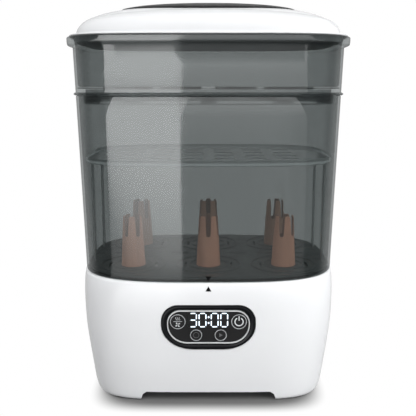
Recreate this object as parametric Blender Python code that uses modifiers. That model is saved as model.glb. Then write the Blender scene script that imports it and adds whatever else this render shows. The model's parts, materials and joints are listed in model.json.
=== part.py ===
"""Electric steam sterilizer and dryer for feeding bottles, as an assembly of separate parts.

Metres, +Z up. The origin is the middle of the footprint, on the surface that it stands on. The control
panel faces -Y. From the bottom: base with its electronics, bottle container, nipple rack, accessory
tray, lid.
"""

import math

import bmesh
import bpy
from mathutils import Matrix, Vector

# Driving dimensions
RING_POINTS = 32  # points round each plan outline
CIRCLE_POINTS = 16  # points round each round hole in the panel
SHARP_ANGLE = 35.0  # degrees, above which an edge stays sharp
GAP = 0.0003  # clearance between parts that touch
WALL = 0.0024  # wall of the see-through tubs
SHELL = 0.0028  # wall of the base housing

ARCH_HEIGHT = 0.0100  # openings under the housing, between its feet
ARCH_HALF_FOOT = 0.0690
ARCH_HALF_TOP = 0.0640
BASE_TOP = 0.1255
CONTAINER_TOP = 0.3062
RACK_BOTTOM = 0.2395
TRAY_FLOOR = 0.3123  # underside of the accessory tray's floor
STACK_TOP = 0.3622  # the accessory tray's lip, where the lid rests
LID_CROWN = 0.3917
CAP_TOP = 0.3997

STACK_FOOT_HALF = (0.1321, 0.0950)  # outer half width and half depth of the tubs at the base
STACK_HEAD_HALF = (0.1360, 0.0976)  # and at the lid
STACK_FOOT_POWER = 3.2  # superellipse power of the plan, higher being squarer
STACK_HEAD_POWER = 4.2
BASE_POWER = 3.25  # the base's plan under the tubs
BASE_FOOT_POWER = 4.9  # and at the bottom of its side
LIP_POWER = 4.4
STACK_FLARE = 1.17  # above 1, the tubs widen faster towards the lid

POST_COLUMNS = (-0.079, 0.0, 0.079)
POST_ROWS = (-0.046, 0.046)
POST_TURNS = (38.0, 0.0, -20.0)  # degrees each column's posts are turned about their own axis
POST_HEIGHT = 0.0525
POST_FOOT_RADIUS = 0.0127
POST_HEAD_RADIUS = 0.0095
POST_WALL = 0.0018
POST_PRONGS = 5
POST_SLIT_WIDTH = 0.0046
POST_SLIT_DEPTH = 0.0215

PANEL_Z = 0.0804  # centre height of the control panel's bezel
PANEL_FRONT = -0.0992
PANEL_SIZE = (0.0936, 0.0460)
PANEL_TOP = (0.0168, 0.0168)  # half width and half height of the bezel's upper corners
PANEL_BOTTOM = (0.0317, 0.0251)
PANEL_STEPS = 5  # facets round each of those corners
TRIM_Z = 0.0812
TRIM_SIZE = (0.0818, 0.0342)
TRIM_TOP = (0.0132, 0.0132)
TRIM_BOTTOM = (0.0196, 0.0190)
TRIM_WIDTH = 0.0010
DISPLAY_SIZE = (0.0410, 0.0162)
DISPLAY_Z = 0.0884
MAIN_BUTTON_RADIUS = 0.0079
MAIN_BUTTON_X = 0.0303
MAIN_BUTTON_Z = 0.0868
SMALL_BUTTON_RADIUS = 0.0062
SMALL_BUTTON_X = 0.0122
SMALL_BUTTON_Z = 0.0728
BUTTON_TRAVEL = 0.0008
BOARD_FRONT = -0.0850  # front face of the control board

PLATE_CENTRE = (0.0, -0.0190)  # heating plate
PLATE_RADIUS = 0.0540
PLATE_HOLE_RADIUS = 0.0495

FAN_HEIGHT = 0.0560  # centre of the dryer fan, whose axis is along Y
FAN_HALF = 0.0320
FAN_BACK = 0.0820
FAN_FRONT = 0.0640
FAN_BORE = 0.0290
BLADES = 7

COVER_BACK = 0.0992
SCREW_PLACE = (0.1120, 0.0480)  # the four screws under the base
SCREW_SHANK = 0.0015
SCREW_HEAD = 0.0034

# Heights that follow from those
LIP_UNDER = BASE_TOP - 0.0025
DECK_RIM = LIP_UNDER - GAP
WELL_FLOOR = BASE_TOP - 0.0150
DECK_UNDER = WELL_FLOOR - 0.0025
BOTTOM_PLATE = (ARCH_HEIGHT + 0.0005, ARCH_HEIGHT + 0.0030)
CONTAINER_FOOT = BASE_TOP + GAP
LEDGE_TOP = CONTAINER_FOOT + 0.0023
BOTTLE_FLOOR = LEDGE_TOP + GAP + 0.0024  # upper face of the bottle tray

parts = None
cutters = None


# Scene and materials


def clear_scene():
    for obj in list(bpy.data.objects):
        bpy.data.objects.remove(obj, do_unlink=True)


def new_collection(name):
    collection = bpy.data.collections.new(name)
    bpy.context.scene.collection.children.link(collection)
    return collection


def new_material(name, color, roughness, metallic=0.0, alpha=1.0):
    """A Principled material under the part's own name."""
    material = bpy.data.materials.new(name)
    material.use_nodes = True
    shader = material.node_tree.nodes["Principled BSDF"]
    shader.inputs["Base Color"].default_value = (*color, 1.0)
    shader.inputs["Roughness"].default_value = roughness
    shader.inputs["Metallic"].default_value = metallic
    shader.inputs["Alpha"].default_value = alpha
    return material


WHITE = dict(color=(0.83, 0.84, 0.86), roughness=0.16)
SMOKE = dict(color=(0.10, 0.12, 0.12), roughness=0.08, alpha=0.55)
CLEAR = dict(color=(0.62, 0.66, 0.66), roughness=0.10, alpha=0.35)
DARK = dict(color=(0.045, 0.052, 0.052), roughness=0.35)
BLACK = dict(color=(0.012, 0.012, 0.014), roughness=0.25)
CORAL = dict(color=(0.62, 0.24, 0.15), roughness=0.45)
STEEL = dict(color=(0.62, 0.62, 0.60), roughness=0.25, metallic=1.0)
RUBBER = dict(color=(0.03, 0.03, 0.03), roughness=0.85)
SILICONE = dict(color=(0.55, 0.56, 0.56), roughness=0.6)
BOARD = dict(color=(0.03, 0.16, 0.07), roughness=0.5)
FILTER = dict(color=(0.75, 0.76, 0.74), roughness=0.95)
COPPER = dict(color=(0.72, 0.36, 0.20), roughness=0.35, metallic=1.0)


def add_part(name, mesh, look):
    """Links a mesh as a visible part with a material of its own."""
    obj = bpy.data.objects.new(name, mesh)
    mesh.materials.append(new_material(name, **look))
    parts.objects.link(obj)
    return obj


def add_cutter(name, mesh):
    """Links a mesh as a hidden helper for a Boolean."""
    obj = bpy.data.objects.new(name, mesh)
    obj.hide_render = True
    obj.display_type = "WIRE"
    cutters.objects.link(obj)
    return obj


def boolean(obj, other, operation="DIFFERENCE"):
    modifier = obj.modifiers.new(other.name, "BOOLEAN")
    modifier.operation = operation
    modifier.solver = "EXACT"
    modifier.object = other
    return obj


def bevel(obj, width, segments=2):
    modifier = obj.modifiers.new("bevel", "BEVEL")
    modifier.width = width
    modifier.segments = segments
    modifier.limit_method = "ANGLE"
    modifier.angle_limit = math.radians(40)


def smooth(obj):
    obj.data.shade_smooth()
    obj.data.set_sharp_from_angle(angle=math.radians(SHARP_ANGLE))
    return obj


# Meshes


def finish_mesh(name, cage):
    mesh = bpy.data.meshes.new(name)
    cage.to_mesh(mesh)
    cage.free()
    return mesh


def plan_ring(half_x, half_y, power):
    """Points of a superellipse, anticlockwise seen from above."""
    ring = []
    for i in range(RING_POINTS):
        angle = 2 * math.pi * i / RING_POINTS
        cos, sin = math.cos(angle), math.sin(angle)
        x = math.copysign(abs(cos) ** (2 / power), cos) * half_x
        y = math.copysign(abs(sin) ** (2 / power), sin) * half_y
        ring.append((x, y))
    return ring


def plan_mesh(name, levels, closed=False):
    """Loft through plan rings, each level being (z, half_x, half_y, power).

    The levels run down the outer side and up the inner side. A closed loft is a ring with a hole through it;
    otherwise the first level is capped by a face that looks up and the last by one that looks down.
    """
    cage = bmesh.new()
    rings = []
    for z, half_x, half_y, power in levels:
        rings.append([cage.verts.new((x, y, z)) for x, y in plan_ring(half_x, half_y, power)])
    pairs = list(zip(rings, rings[1:]))
    if closed:
        pairs.append((rings[-1], rings[0]))
    else:
        cage.faces.new(rings[0])
        cage.faces.new(reversed(rings[-1]))
    for first, second in pairs:
        for i in range(RING_POINTS):
            k = (i + 1) % RING_POINTS
            cage.faces.new((first[i], second[i], second[k], first[k]))
    return finish_mesh(name, cage)


def turned_mesh(name, profile, steps=24, closed=False):
    """Solid of revolution about Z. The profile, as (radius, z), runs down the outer side."""
    cage = bmesh.new()
    verts = [cage.verts.new((radius, 0.0, z)) for radius, z in profile]
    for first, second in zip(verts, verts[1:]):
        cage.edges.new((first, second))
    if closed:
        cage.edges.new((verts[-1], verts[0]))
    mesh = finish_mesh(name + "_profile", cage)
    source = bpy.data.objects.new(name + "_profile", mesh)
    cutters.objects.link(source)
    screw = source.modifiers.new("screw", "SCREW")
    screw.steps = steps
    screw.render_steps = steps
    screw.use_merge_vertices = True
    screw.merge_threshold = 0.00001
    bpy.context.view_layer.update()
    evaluated = source.evaluated_get(bpy.context.evaluated_depsgraph_get())
    solid = bpy.data.meshes.new_from_object(evaluated)
    solid.name = name
    bpy.data.objects.remove(source, do_unlink=True)
    return solid


def boxes_mesh(name, corners):
    """Boxes that don't touch each other, each (low corner, high corner), in one mesh."""
    cage = bmesh.new()
    for low, high in corners:
        low, high = Vector(low), Vector(high)
        size = high - low
        place = Matrix.Translation((low + high) / 2) @ Matrix.Diagonal((*size, 1.0))
        bmesh.ops.create_cube(cage, size=1.0, matrix=place)
    return finish_mesh(name, cage)


def rods_mesh(name, rods, axis="Z", segments=20):
    """Cylinders, each (centre, radius, length), along one axis, in one mesh."""
    turn = {
        "X": Matrix.Rotation(math.pi / 2, 4, "Y"),
        "Y": Matrix.Rotation(-math.pi / 2, 4, "X"),
        "Z": Matrix.Identity(4),
    }[axis]
    cage = bmesh.new()
    for center, radius, length in rods:
        bmesh.ops.create_cone(
            cage,
            cap_ends=True,
            segments=segments,
            radius1=radius,
            radius2=radius,
            depth=length,
            matrix=Matrix.Translation(center) @ turn,
        )
    return finish_mesh(name, cage)


def prism_mesh(name, outlines, place=Matrix.Identity(4)):
    """Flat outlines in local XZ, each (points anticlockwise seen from -Y, y_front, y_back), made solid."""
    cage = bmesh.new()
    for points, y_front, y_back in outlines:
        front = [cage.verts.new(place @ Vector((x, y_front, z))) for x, z in points]
        back = [cage.verts.new(place @ Vector((x, y_back, z))) for x, z in points]
        cage.faces.new(front)
        cage.faces.new(reversed(back))
        count = len(points)
        for i in range(count):
            k = (i + 1) % count
            cage.faces.new((front[i], back[i], back[k], front[k]))
    return finish_mesh(name, cage)


def rounded_outline(width, height, top, bottom, center=(0.0, 0.0), steps=4):
    """Rounded rectangle as (x, z) points, anticlockwise seen from -Y.

    The top and bottom corners are each given by their half width and half height.
    """
    half_w, half_h = width / 2, height / 2
    corners = (
        (half_w - top[0], half_h - top[1], top, 0.0),
        (-half_w + top[0], half_h - top[1], top, 90.0),
        (-half_w + bottom[0], -half_h + bottom[1], bottom, 180.0),
        (half_w - bottom[0], -half_h + bottom[1], bottom, 270.0),
    )
    points = []
    for x, z, radius, start in corners:
        for step in range(steps + 1):
            angle = math.radians(start + 90.0 * step / steps)
            points.append((
                center[0] + x + radius[0] * math.cos(angle),
                center[1] + z + radius[1] * math.sin(angle),
            ))
    return points


def panel_outline(size, top, bottom, grow, height):
    """An outline of the control panel, grown on all sides."""
    return rounded_outline(
        size[0] + 2 * grow,
        size[1] + 2 * grow,
        (top[0] + grow, top[1] + grow),
        (bottom[0] + grow, bottom[1] + grow),
        (0.0, height),
        PANEL_STEPS,
    )


def circle_outline(radius, center=(0.0, 0.0)):
    points = []
    for i in range(CIRCLE_POINTS):
        angle = 2 * math.pi * i / CIRCLE_POINTS
        points.append((center[0] + radius * math.cos(angle), center[1] + radius * math.sin(angle)))
    return points


def plate_curve(name, outlines, y_front, y_back, look):
    """Flat plate facing -Y. The first outline is its edge and the others are holes through it."""
    curve = bpy.data.curves.new(name, "CURVE")
    curve.dimensions = "2D"
    curve.fill_mode = "BOTH"
    curve.extrude = abs(y_back - y_front) / 2
    for points in outlines:
        spline = curve.splines.new("POLY")
        spline.points.add(len(points) - 1)
        for point, (x, z) in zip(spline.points, points):
            point.co = (x, z, 0.0, 1.0)
        spline.use_cyclic_u = True
    obj = bpy.data.objects.new(name, curve)
    obj.location = (0.0, (y_front + y_back) / 2, 0.0)
    obj.rotation_euler = (math.pi / 2, 0.0, 0.0)
    curve.materials.append(new_material(name, **look))
    parts.objects.link(obj)
    return obj


def tube(name, points, radius, look):
    """Round bar along a line of points, with closed ends."""
    curve = bpy.data.curves.new(name, "CURVE")
    curve.dimensions = "3D"
    curve.bevel_depth = radius
    curve.bevel_resolution = 2
    curve.use_fill_caps = True
    spline = curve.splines.new("POLY")
    spline.points.add(len(points) - 1)
    for point, place in zip(spline.points, points):
        point.co = (*place, 1.0)
    obj = bpy.data.objects.new(name, curve)
    curve.materials.append(new_material(name, **look))
    parts.objects.link(obj)
    return obj


# Plan of the see-through tubs, from the base to the lid


def stack_level(z, inset=0.0):
    """The tubs' common outer surface at a height, or one inset from it, as a level for plan_mesh."""
    share = (z - BASE_TOP) / (STACK_TOP - BASE_TOP)
    flare = share**STACK_FLARE
    half_x = STACK_FOOT_HALF[0] + (STACK_HEAD_HALF[0] - STACK_FOOT_HALF[0]) * flare
    half_y = STACK_FOOT_HALF[1] + (STACK_HEAD_HALF[1] - STACK_FOOT_HALF[1]) * flare
    power = STACK_FOOT_POWER + (STACK_HEAD_POWER - STACK_FOOT_POWER) * share
    return (z, half_x - inset, half_y - inset, power)


def base_power(z):
    """The base's side is squarer in plan towards its foot."""
    return BASE_FOOT_POWER + (BASE_POWER - BASE_FOOT_POWER) * z / LIP_UNDER


def base_levels(inset):
    """The base housing's side, from its shoulder down to its foot, as levels for plan_mesh."""
    sides = (
        (LIP_UNDER, 0.1330, 0.0956),
        (0.1160, 0.1338, 0.0968),
        (0.1040, 0.1340, 0.0978),
        (0.0890, 0.1334, 0.0982),
        (0.0700, 0.1319, 0.0982),
        (0.0500, 0.1290, 0.0976),
        (0.0300, 0.1257, 0.0966),
        (0.0120, 0.1228, 0.0953),
    )
    return [(z, half_x - inset, half_y - inset, base_power(z)) for z, half_x, half_y in sides]


# Base


def screw_places():
    x, y = SCREW_PLACE
    return [(side_x * x, side_y * y) for side_x in (-1, 1) for side_y in (-1, 1)]


def make_base_housing():
    outer = [
        (BASE_TOP, 0.1300, 0.0930, BASE_POWER),
        (BASE_TOP - 0.0006, 0.1314, 0.0944, BASE_POWER),
        *base_levels(0.0),
        (0.0040, 0.1205, 0.0946, base_power(0.0040)),
        (0.0012, 0.1180, 0.0938, base_power(0.0012)),
    ]
    inner = [
        (0.0012, 0.1160, 0.0918, base_power(0.0012)),
        *reversed(base_levels(SHELL)),
        (LIP_UNDER, 0.1240, 0.0894, BASE_POWER),
        (BASE_TOP, 0.1240, 0.0894, BASE_POWER),
    ]
    housing = add_part("base_housing", plan_mesh("base_housing", outer + inner, closed=True), WHITE)
    bosses = [((x, y, 0.0220), 0.0084, 0.0170) for x, y in screw_places()]
    boolean(housing, add_cutter("screw_bosses", rods_mesh("screw_bosses", bosses, segments=12)), "UNION")
    holes = [((x, y, 0.0060), SCREW_SHANK + GAP, 0.0400) for x, y in screw_places()]
    boolean(housing, add_cutter("boss_holes", rods_mesh("boss_holes", holes, segments=10)))
    arch = (
        (-ARCH_HALF_FOOT, -0.0100),
        (ARCH_HALF_FOOT, -0.0100),
        (ARCH_HALF_FOOT, 0.0010),
        (ARCH_HALF_TOP + 0.0015, ARCH_HEIGHT - 0.0015),
        (ARCH_HALF_TOP - 0.0010, ARCH_HEIGHT),
        (-ARCH_HALF_TOP + 0.0010, ARCH_HEIGHT),
        (-ARCH_HALF_TOP - 0.0015, ARCH_HEIGHT - 0.0015),
        (-ARCH_HALF_FOOT, 0.0010),
    )
    boolean(housing, add_cutter("arch", prism_mesh("arch", [(arch, -0.1300, 0.1300)])))
    panel = panel_outline(PANEL_SIZE, PANEL_TOP, PANEL_BOTTOM, GAP, PANEL_Z)
    boolean(housing, add_cutter("panel_hole", prism_mesh("panel_hole", [(panel, -0.1200, -0.0800)])))
    openings = [
        ((-FAN_HALF - 0.0016, 0.0850, FAN_HEIGHT - 0.0316), (FAN_HALF + 0.0016, 0.1200, FAN_HEIGHT + 0.0316)),
        ((0.0577, 0.0800, 0.0217), (0.0823, 0.1200, 0.0383)),
    ]
    boolean(housing, add_cutter("rear_holes", boxes_mesh("rear_holes", openings)))
    smooth(housing)


def make_base_deck():
    levels = [
        (WELL_FLOOR, 0.1160, 0.0820),
        (DECK_RIM, 0.1185, 0.0845),
        (DECK_RIM, 0.1268, 0.0918),
        (DECK_RIM - 0.0024, 0.1268, 0.0918),
        (DECK_RIM - 0.0024, 0.1209, 0.0869),
        (DECK_UNDER, 0.1184, 0.0844),
    ]
    levels = [(z, half_x, half_y, BASE_POWER) for z, half_x, half_y in levels]
    deck = add_part("base_deck", plan_mesh("base_deck", levels), WHITE)
    plate_hole = [((*PLATE_CENTRE, WELL_FLOOR), PLATE_HOLE_RADIUS, 0.0100)]
    boolean(deck, add_cutter("plate_hole", rods_mesh("plate_hole", plate_hole, segments=28)))
    air_hole = [((-0.0255, 0.0415, WELL_FLOOR - 0.0050), (0.0255, 0.0610, WELL_FLOOR + 0.0050))]
    boolean(deck, add_cutter("air_hole", boxes_mesh("air_hole", air_hole)))
    smooth(deck)


def make_bottom_plate():
    low, high = BOTTOM_PLATE
    levels = [(high, 0.1186, 0.0912, base_power(high)), (low, 0.1184, 0.0910, base_power(low))]
    plate = add_part("bottom_plate", plan_mesh("bottom_plate", levels), DARK)
    middle = (low + high) / 2
    holes = [((x, y, middle), SCREW_SHANK + 2 * GAP, 0.0100) for x, y in screw_places()]
    boolean(plate, add_cutter("plate_screw_holes", rods_mesh("plate_screw_holes", holes, segments=10)))
    vents = []
    for i in range(6):
        x = -0.0350 + 0.0140 * i
        vents.append(((x - 0.0020, -0.0300, low - 0.0050), (x + 0.0020, 0.0100, high + 0.0050)))
    boolean(plate, add_cutter("cooling_vents", boxes_mesh("cooling_vents", vents)))


def make_feet_and_screws():
    foot_top = BOTTOM_PLATE[0] - GAP
    foot = [(0.0, foot_top), (0.0086, foot_top), (0.0086, 0.0016), (0.0078, 0.0), (0.0, 0.0)]
    head_top = BOTTOM_PLATE[0] - GAP
    screw = [
        (0.0, 0.0240),
        (SCREW_SHANK, 0.0230),
        (SCREW_SHANK, head_top),
        (SCREW_HEAD, head_top),
        (SCREW_HEAD, head_top - 0.0012),
        (0.0022, head_top - 0.0020),
        (0.0, head_top - 0.0020),
    ]
    corners = (("front_left", -1, -1), ("front_right", 1, -1), ("rear_left", -1, 1), ("rear_right", 1, 1))
    for place, side_x, side_y in corners:
        name = "rubber_foot_" + place
        obj = add_part(name, turned_mesh(name, foot, 16), RUBBER)
        obj.location = (side_x * 0.0840, side_y * 0.0630, 0.0)
        smooth(obj)
        name = "base_screw_" + place
        obj = add_part(name, turned_mesh(name, screw, 10), STEEL)
        obj.location = (side_x * SCREW_PLACE[0], side_y * SCREW_PLACE[1], 0.0)
        smooth(obj)


# Heating


def make_heating():
    x, y = PLATE_CENTRE
    seal_low = WELL_FLOOR + GAP
    seal_high = seal_low + 0.0012
    flange = seal_high + GAP
    seal = [
        (0.0548, seal_high),
        (0.0548, seal_low),
        (PLATE_HOLE_RADIUS, seal_low),
        (PLATE_HOLE_RADIUS, seal_high),
    ]
    obj = add_part("plate_seal", turned_mesh("plate_seal", seal, 28, closed=True), SILICONE)
    obj.location = (x, y, 0.0)
    dish = [
        (0.0, flange - 0.0058),
        (0.0430, flange - 0.0058),
        (0.0465, flange - 0.0045),
        (0.0472, flange + 0.0010),
        (PLATE_RADIUS, flange + 0.0010),
        (PLATE_RADIUS, flange),
        (0.0482, flange),
        (0.0475, flange - 0.0052),
        (0.0434, flange - 0.0068),
        (0.0, flange - 0.0068),
    ]
    obj = add_part("heating_plate", turned_mesh("heating_plate", dish, 28), STEEL)
    obj.location = (x, y, 0.0)
    smooth(obj)
    bar_radius = 0.0038
    bar_z = flange - 0.0068 - GAP - bar_radius
    ring = []
    for i in range(19):
        angle = math.radians(-75.0 + 330.0 * i / 18)
        ring.append((x + 0.0340 * math.cos(angle), y + 0.0340 * math.sin(angle), bar_z))
    for end in (0, -1):
        tail = Vector(ring[end]) + Vector((0.0, -0.0040, -0.0120))
        ring.insert(0 if end == 0 else len(ring), tuple(tail))
    tube("heating_element", ring, bar_radius, STEEL)
    disc_top = flange - 0.0068 - GAP
    thermostat = [((0.0, 0.0, disc_top - 0.0040), 0.0090, 0.0080)]
    obj = add_part("thermostat", rods_mesh("thermostat", thermostat), BLACK)
    obj.location = (x, y, 0.0)
    smooth(obj)
    sensor = [((0.0180, 0.0, disc_top - 0.0060), 0.0035, 0.0120)]
    obj = add_part("temperature_sensor", rods_mesh("temperature_sensor", sensor, segments=14), COPPER)
    obj.location = (x, y, 0.0)
    smooth(obj)


# Dryer: filter, fan, duct, heater and outlet


def make_fan():
    corner = (0.0040, 0.0040)
    square = rounded_outline(2 * FAN_HALF, 2 * FAN_HALF, corner, corner, steps=2)
    frame = add_part("fan_frame", prism_mesh("fan_frame", [(square, FAN_FRONT, FAN_BACK)]), BLACK)
    bore = [((0.0, (FAN_FRONT + FAN_BACK) / 2 + 0.0020, 0.0), FAN_BORE, FAN_BACK - FAN_FRONT)]
    boolean(frame, add_cutter("fan_bore", rods_mesh("fan_bore", bore, "Y", 32)))
    windows = []
    for start in (15.0, 135.0, 255.0):
        points = [(0.0135, start), (0.0275, start)]
        points += [(0.0275, start + 22.5 * i) for i in range(1, 5)]
        points += [(0.0135, start + 90.0 - 30.0 * i) for i in range(0, 3)]
        outline = []
        for radius, degrees in points:
            angle = math.radians(degrees)
            outline.append((radius * math.cos(angle), radius * math.sin(angle)))
        windows.append((outline, FAN_FRONT - 0.0050, FAN_FRONT + 0.0060))
    boolean(frame, add_cutter("fan_windows", prism_mesh("fan_windows", windows)))
    frame.location.z = FAN_HEIGHT
    for name in ("fan_bore", "fan_windows"):
        bpy.data.objects[name].location.z = FAN_HEIGHT

    web = FAN_FRONT + 0.0020  # the spider that carries the motor
    motor = [((0.0, web + GAP + 0.0050, 0.0), 0.0120, 0.0100)]
    obj = add_part("fan_motor", rods_mesh("fan_motor", motor, "Y", 24), STEEL)
    obj.location.z = FAN_HEIGHT
    smooth(obj)

    cup_end = web + GAP + 0.0100 + GAP
    cup = [(0.0, cup_end + 0.0020), (0.0155, cup_end + 0.0020), (0.0160, cup_end + 0.0012)]
    cup += [(0.0160, web + 0.0012), (0.0130, web + 0.0012), (0.0130, cup_end), (0.0, cup_end)]
    mesh = turned_mesh("fan_impeller", cup, 20)
    mesh.transform(Matrix.Rotation(-math.pi / 2, 4, "X"))
    impeller = add_part("fan_impeller", mesh, DARK)
    impeller.location.z = FAN_HEIGHT
    cage = bmesh.new()
    for i in range(BLADES):
        spin = Matrix.Rotation(2 * math.pi * i / BLADES, 4, "Y")
        pitch = Matrix.Rotation(math.radians(42.0), 4, "Z")
        middle = Matrix.Translation((0.0, (web + cup_end) / 2 + 0.0010, 0.0215))
        shape = Matrix.Diagonal((0.0120, 0.0012, 0.0124, 1.0))
        bmesh.ops.create_cube(cage, size=1.0, matrix=spin @ middle @ pitch @ shape)
    blades = add_cutter("fan_blades", finish_mesh("fan_blades", cage))
    blades.location.z = FAN_HEIGHT
    boolean(impeller, blades, "UNION")
    smooth(impeller)


def make_air_path():
    duct_box = ((-0.0300, 0.0345, 0.0240), (0.0300, FAN_FRONT - GAP, DECK_UNDER - GAP))
    duct = add_part("air_duct", boxes_mesh("air_duct", [duct_box]), DARK)
    hollow = [((-0.0280, 0.0365, 0.0260), (0.0280, FAN_FRONT - 0.0023, DECK_UNDER + 0.0100))]
    boolean(duct, add_cutter("duct_hollow", boxes_mesh("duct_hollow", hollow)))
    mouth = [((0.0, FAN_FRONT, FAN_HEIGHT), 0.0270, 0.0100)]
    boolean(duct, add_cutter("duct_mouth", rods_mesh("duct_mouth", mouth, "Y", 28)))

    heater_box = ((-0.0270, 0.0380, 0.0870), (0.0270, 0.0600, 0.0970))
    heater = add_part("air_heater", boxes_mesh("air_heater", [heater_box]), STEEL)
    slots = []
    for i in range(8):
        x = -0.0210 + 0.0060 * i
        slots.append(((x - 0.0018, 0.0400, 0.0800), (x + 0.0018, 0.0580, 0.1050)))
    boolean(heater, add_cutter("heater_slots", boxes_mesh("heater_slots", slots)))

    cap_low, cap_high = WELL_FLOOR + GAP, WELL_FLOOR + 0.0090
    cap_box = ((-0.0300, 0.0385, cap_low), (0.0300, 0.0650, cap_high))
    cap = add_part("air_outlet_cap", boxes_mesh("air_outlet_cap", [cap_box]), WHITE)
    hollow = [((-0.0280, 0.0405, cap_low - 0.0050), (0.0280, 0.0630, cap_high - 0.0018))]
    boolean(cap, add_cutter("cap_hollow", boxes_mesh("cap_hollow", hollow)))
    louvres = []
    for i in range(6):
        x = -0.0225 + 0.0090 * i
        louvres.append(((x - 0.0030, 0.0300, cap_low + 0.0022), (x + 0.0030, 0.0415, cap_high - 0.0026)))
    boolean(cap, add_cutter("cap_louvres", boxes_mesh("cap_louvres", louvres)))


def make_filter():
    low_z, high_z = FAN_HEIGHT - 0.0300, FAN_HEIGHT + 0.0300
    pad_box = ((-0.0300, FAN_BACK + GAP, low_z), (0.0300, FAN_BACK + 0.0070, high_z))
    pad = add_part("air_filter", boxes_mesh("air_filter", [pad_box]), FILTER)
    bevel(pad, 0.0015, 1)
    corner = (0.0050, 0.0050)
    outline = rounded_outline(2 * FAN_HALF + 0.0024, 0.0624, corner, corner, (0.0, FAN_HEIGHT), 3)
    cover = add_part("filter_cover", prism_mesh("filter_cover", [(outline, 0.0894, COVER_BACK)]), WHITE)
    pocket = [((-0.0312, 0.0800, low_z), (0.0312, COVER_BACK - 0.0024, high_z))]
    boolean(cover, add_cutter("cover_pocket", boxes_mesh("cover_pocket", pocket)))
    slots = []
    for i in range(7):
        z = FAN_HEIGHT - 0.0225 + 0.0075 * i
        slots.append(((-0.0250, 0.0900, z - 0.0017), (0.0250, 0.1100, z + 0.0017)))
    boolean(cover, add_cutter("cover_slots", boxes_mesh("cover_slots", slots)))
    smooth(cover)


# Control panel and electronics


def button_specs():
    """Name, x, z and radius of each button."""
    return (
        ("mode_button", -MAIN_BUTTON_X, MAIN_BUTTON_Z, MAIN_BUTTON_RADIUS),
        ("power_button", MAIN_BUTTON_X, MAIN_BUTTON_Z, MAIN_BUTTON_RADIUS),
        ("time_button", -SMALL_BUTTON_X, SMALL_BUTTON_Z, SMALL_BUTTON_RADIUS),
        ("start_button", SMALL_BUTTON_X, SMALL_BUTTON_Z, SMALL_BUTTON_RADIUS),
    )


def make_panel():
    outer = panel_outline(PANEL_SIZE, PANEL_TOP, PANEL_BOTTOM, 0.0, PANEL_Z)
    opening = panel_outline(TRIM_SIZE, TRIM_TOP, TRIM_BOTTOM, GAP, TRIM_Z)
    bezel_mesh = prism_mesh("panel_bezel", [(outer, PANEL_FRONT, PANEL_FRONT + 0.0070)])
    bezel = add_part("panel_bezel", bezel_mesh, BLACK)
    boolean(bezel, add_cutter("bezel_opening", prism_mesh("bezel_opening", [(opening, -0.1200, -0.0800)])))
    stud_y = (PANEL_FRONT + 0.0060 + BOARD_FRONT - GAP) / 2
    stud_length = BOARD_FRONT - GAP - PANEL_FRONT - 0.0060
    studs = [((x, stud_y, PANEL_Z), 0.0021, stud_length) for x in (-0.0440, 0.0440)]
    boolean(bezel, add_cutter("bezel_studs", rods_mesh("bezel_studs", studs, "Y", 12)), "UNION")
    smooth(bezel)

    ring = panel_outline(TRIM_SIZE, TRIM_TOP, TRIM_BOTTOM, 0.0, TRIM_Z)
    inner = panel_outline(TRIM_SIZE, TRIM_TOP, TRIM_BOTTOM, -TRIM_WIDTH, TRIM_Z)
    plate_curve("panel_trim", [ring, inner], PANEL_FRONT - 0.0002, PANEL_FRONT + 0.0040, STEEL)

    edge = panel_outline(TRIM_SIZE, TRIM_TOP, TRIM_BOTTOM, -TRIM_WIDTH - GAP, TRIM_Z)
    corner = (0.0010, 0.0010)
    window = rounded_outline(*DISPLAY_SIZE, corner, corner, (0.0, DISPLAY_Z), 1)
    holes = [circle_outline(radius + GAP, (x, z)) for _, x, z, radius in button_specs()]
    plate_curve("panel_face", [edge, window, *holes], PANEL_FRONT + 0.0008, PANEL_FRONT + 0.0030, BLACK)

    lens_w, lens_h = (side - 2 * GAP for side in DISPLAY_SIZE)
    lens = rounded_outline(lens_w, lens_h, corner, corner, (0.0, DISPLAY_Z), 1)
    module = prism_mesh("display_module", [(lens, PANEL_FRONT + 0.0009, BOARD_FRONT - GAP)])
    add_part("display_module", module, BLACK)


def make_buttons():
    face = PANEL_FRONT + 0.0006
    stem_end = BOARD_FRONT - GAP - 0.0035 - BUTTON_TRAVEL - 0.0004
    for name, x, z, radius in button_specs():
        # The cap is turned about Z and laid over, so its profile's heights run along -Y.
        profile = [
            (0.0, -face + 0.0002),
            (radius - 0.0008, -face + 0.0002),
            (radius, -face - 0.0004),
            (radius, -face - 0.0024),
            (0.0024, -face - 0.0024),
            (0.0024, -stem_end),
            (0.0, -stem_end),
        ]
        mesh = turned_mesh(name, profile, 16)
        mesh.transform(Matrix.Rotation(math.pi / 2, 4, "X"))
        obj = add_part(name, mesh, BLACK)
        obj.location = (x, 0.0, z)
        smooth(obj)
        switch_front = BOARD_FRONT - GAP - 0.0035
        half = 0.0030
        body = ((-half, switch_front, -half), (half, BOARD_FRONT - GAP, half))
        switch = add_part(name + "_switch", boxes_mesh(name + "_switch", [body]), DARK)
        switch.location = (x, 0.0, z)


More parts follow.
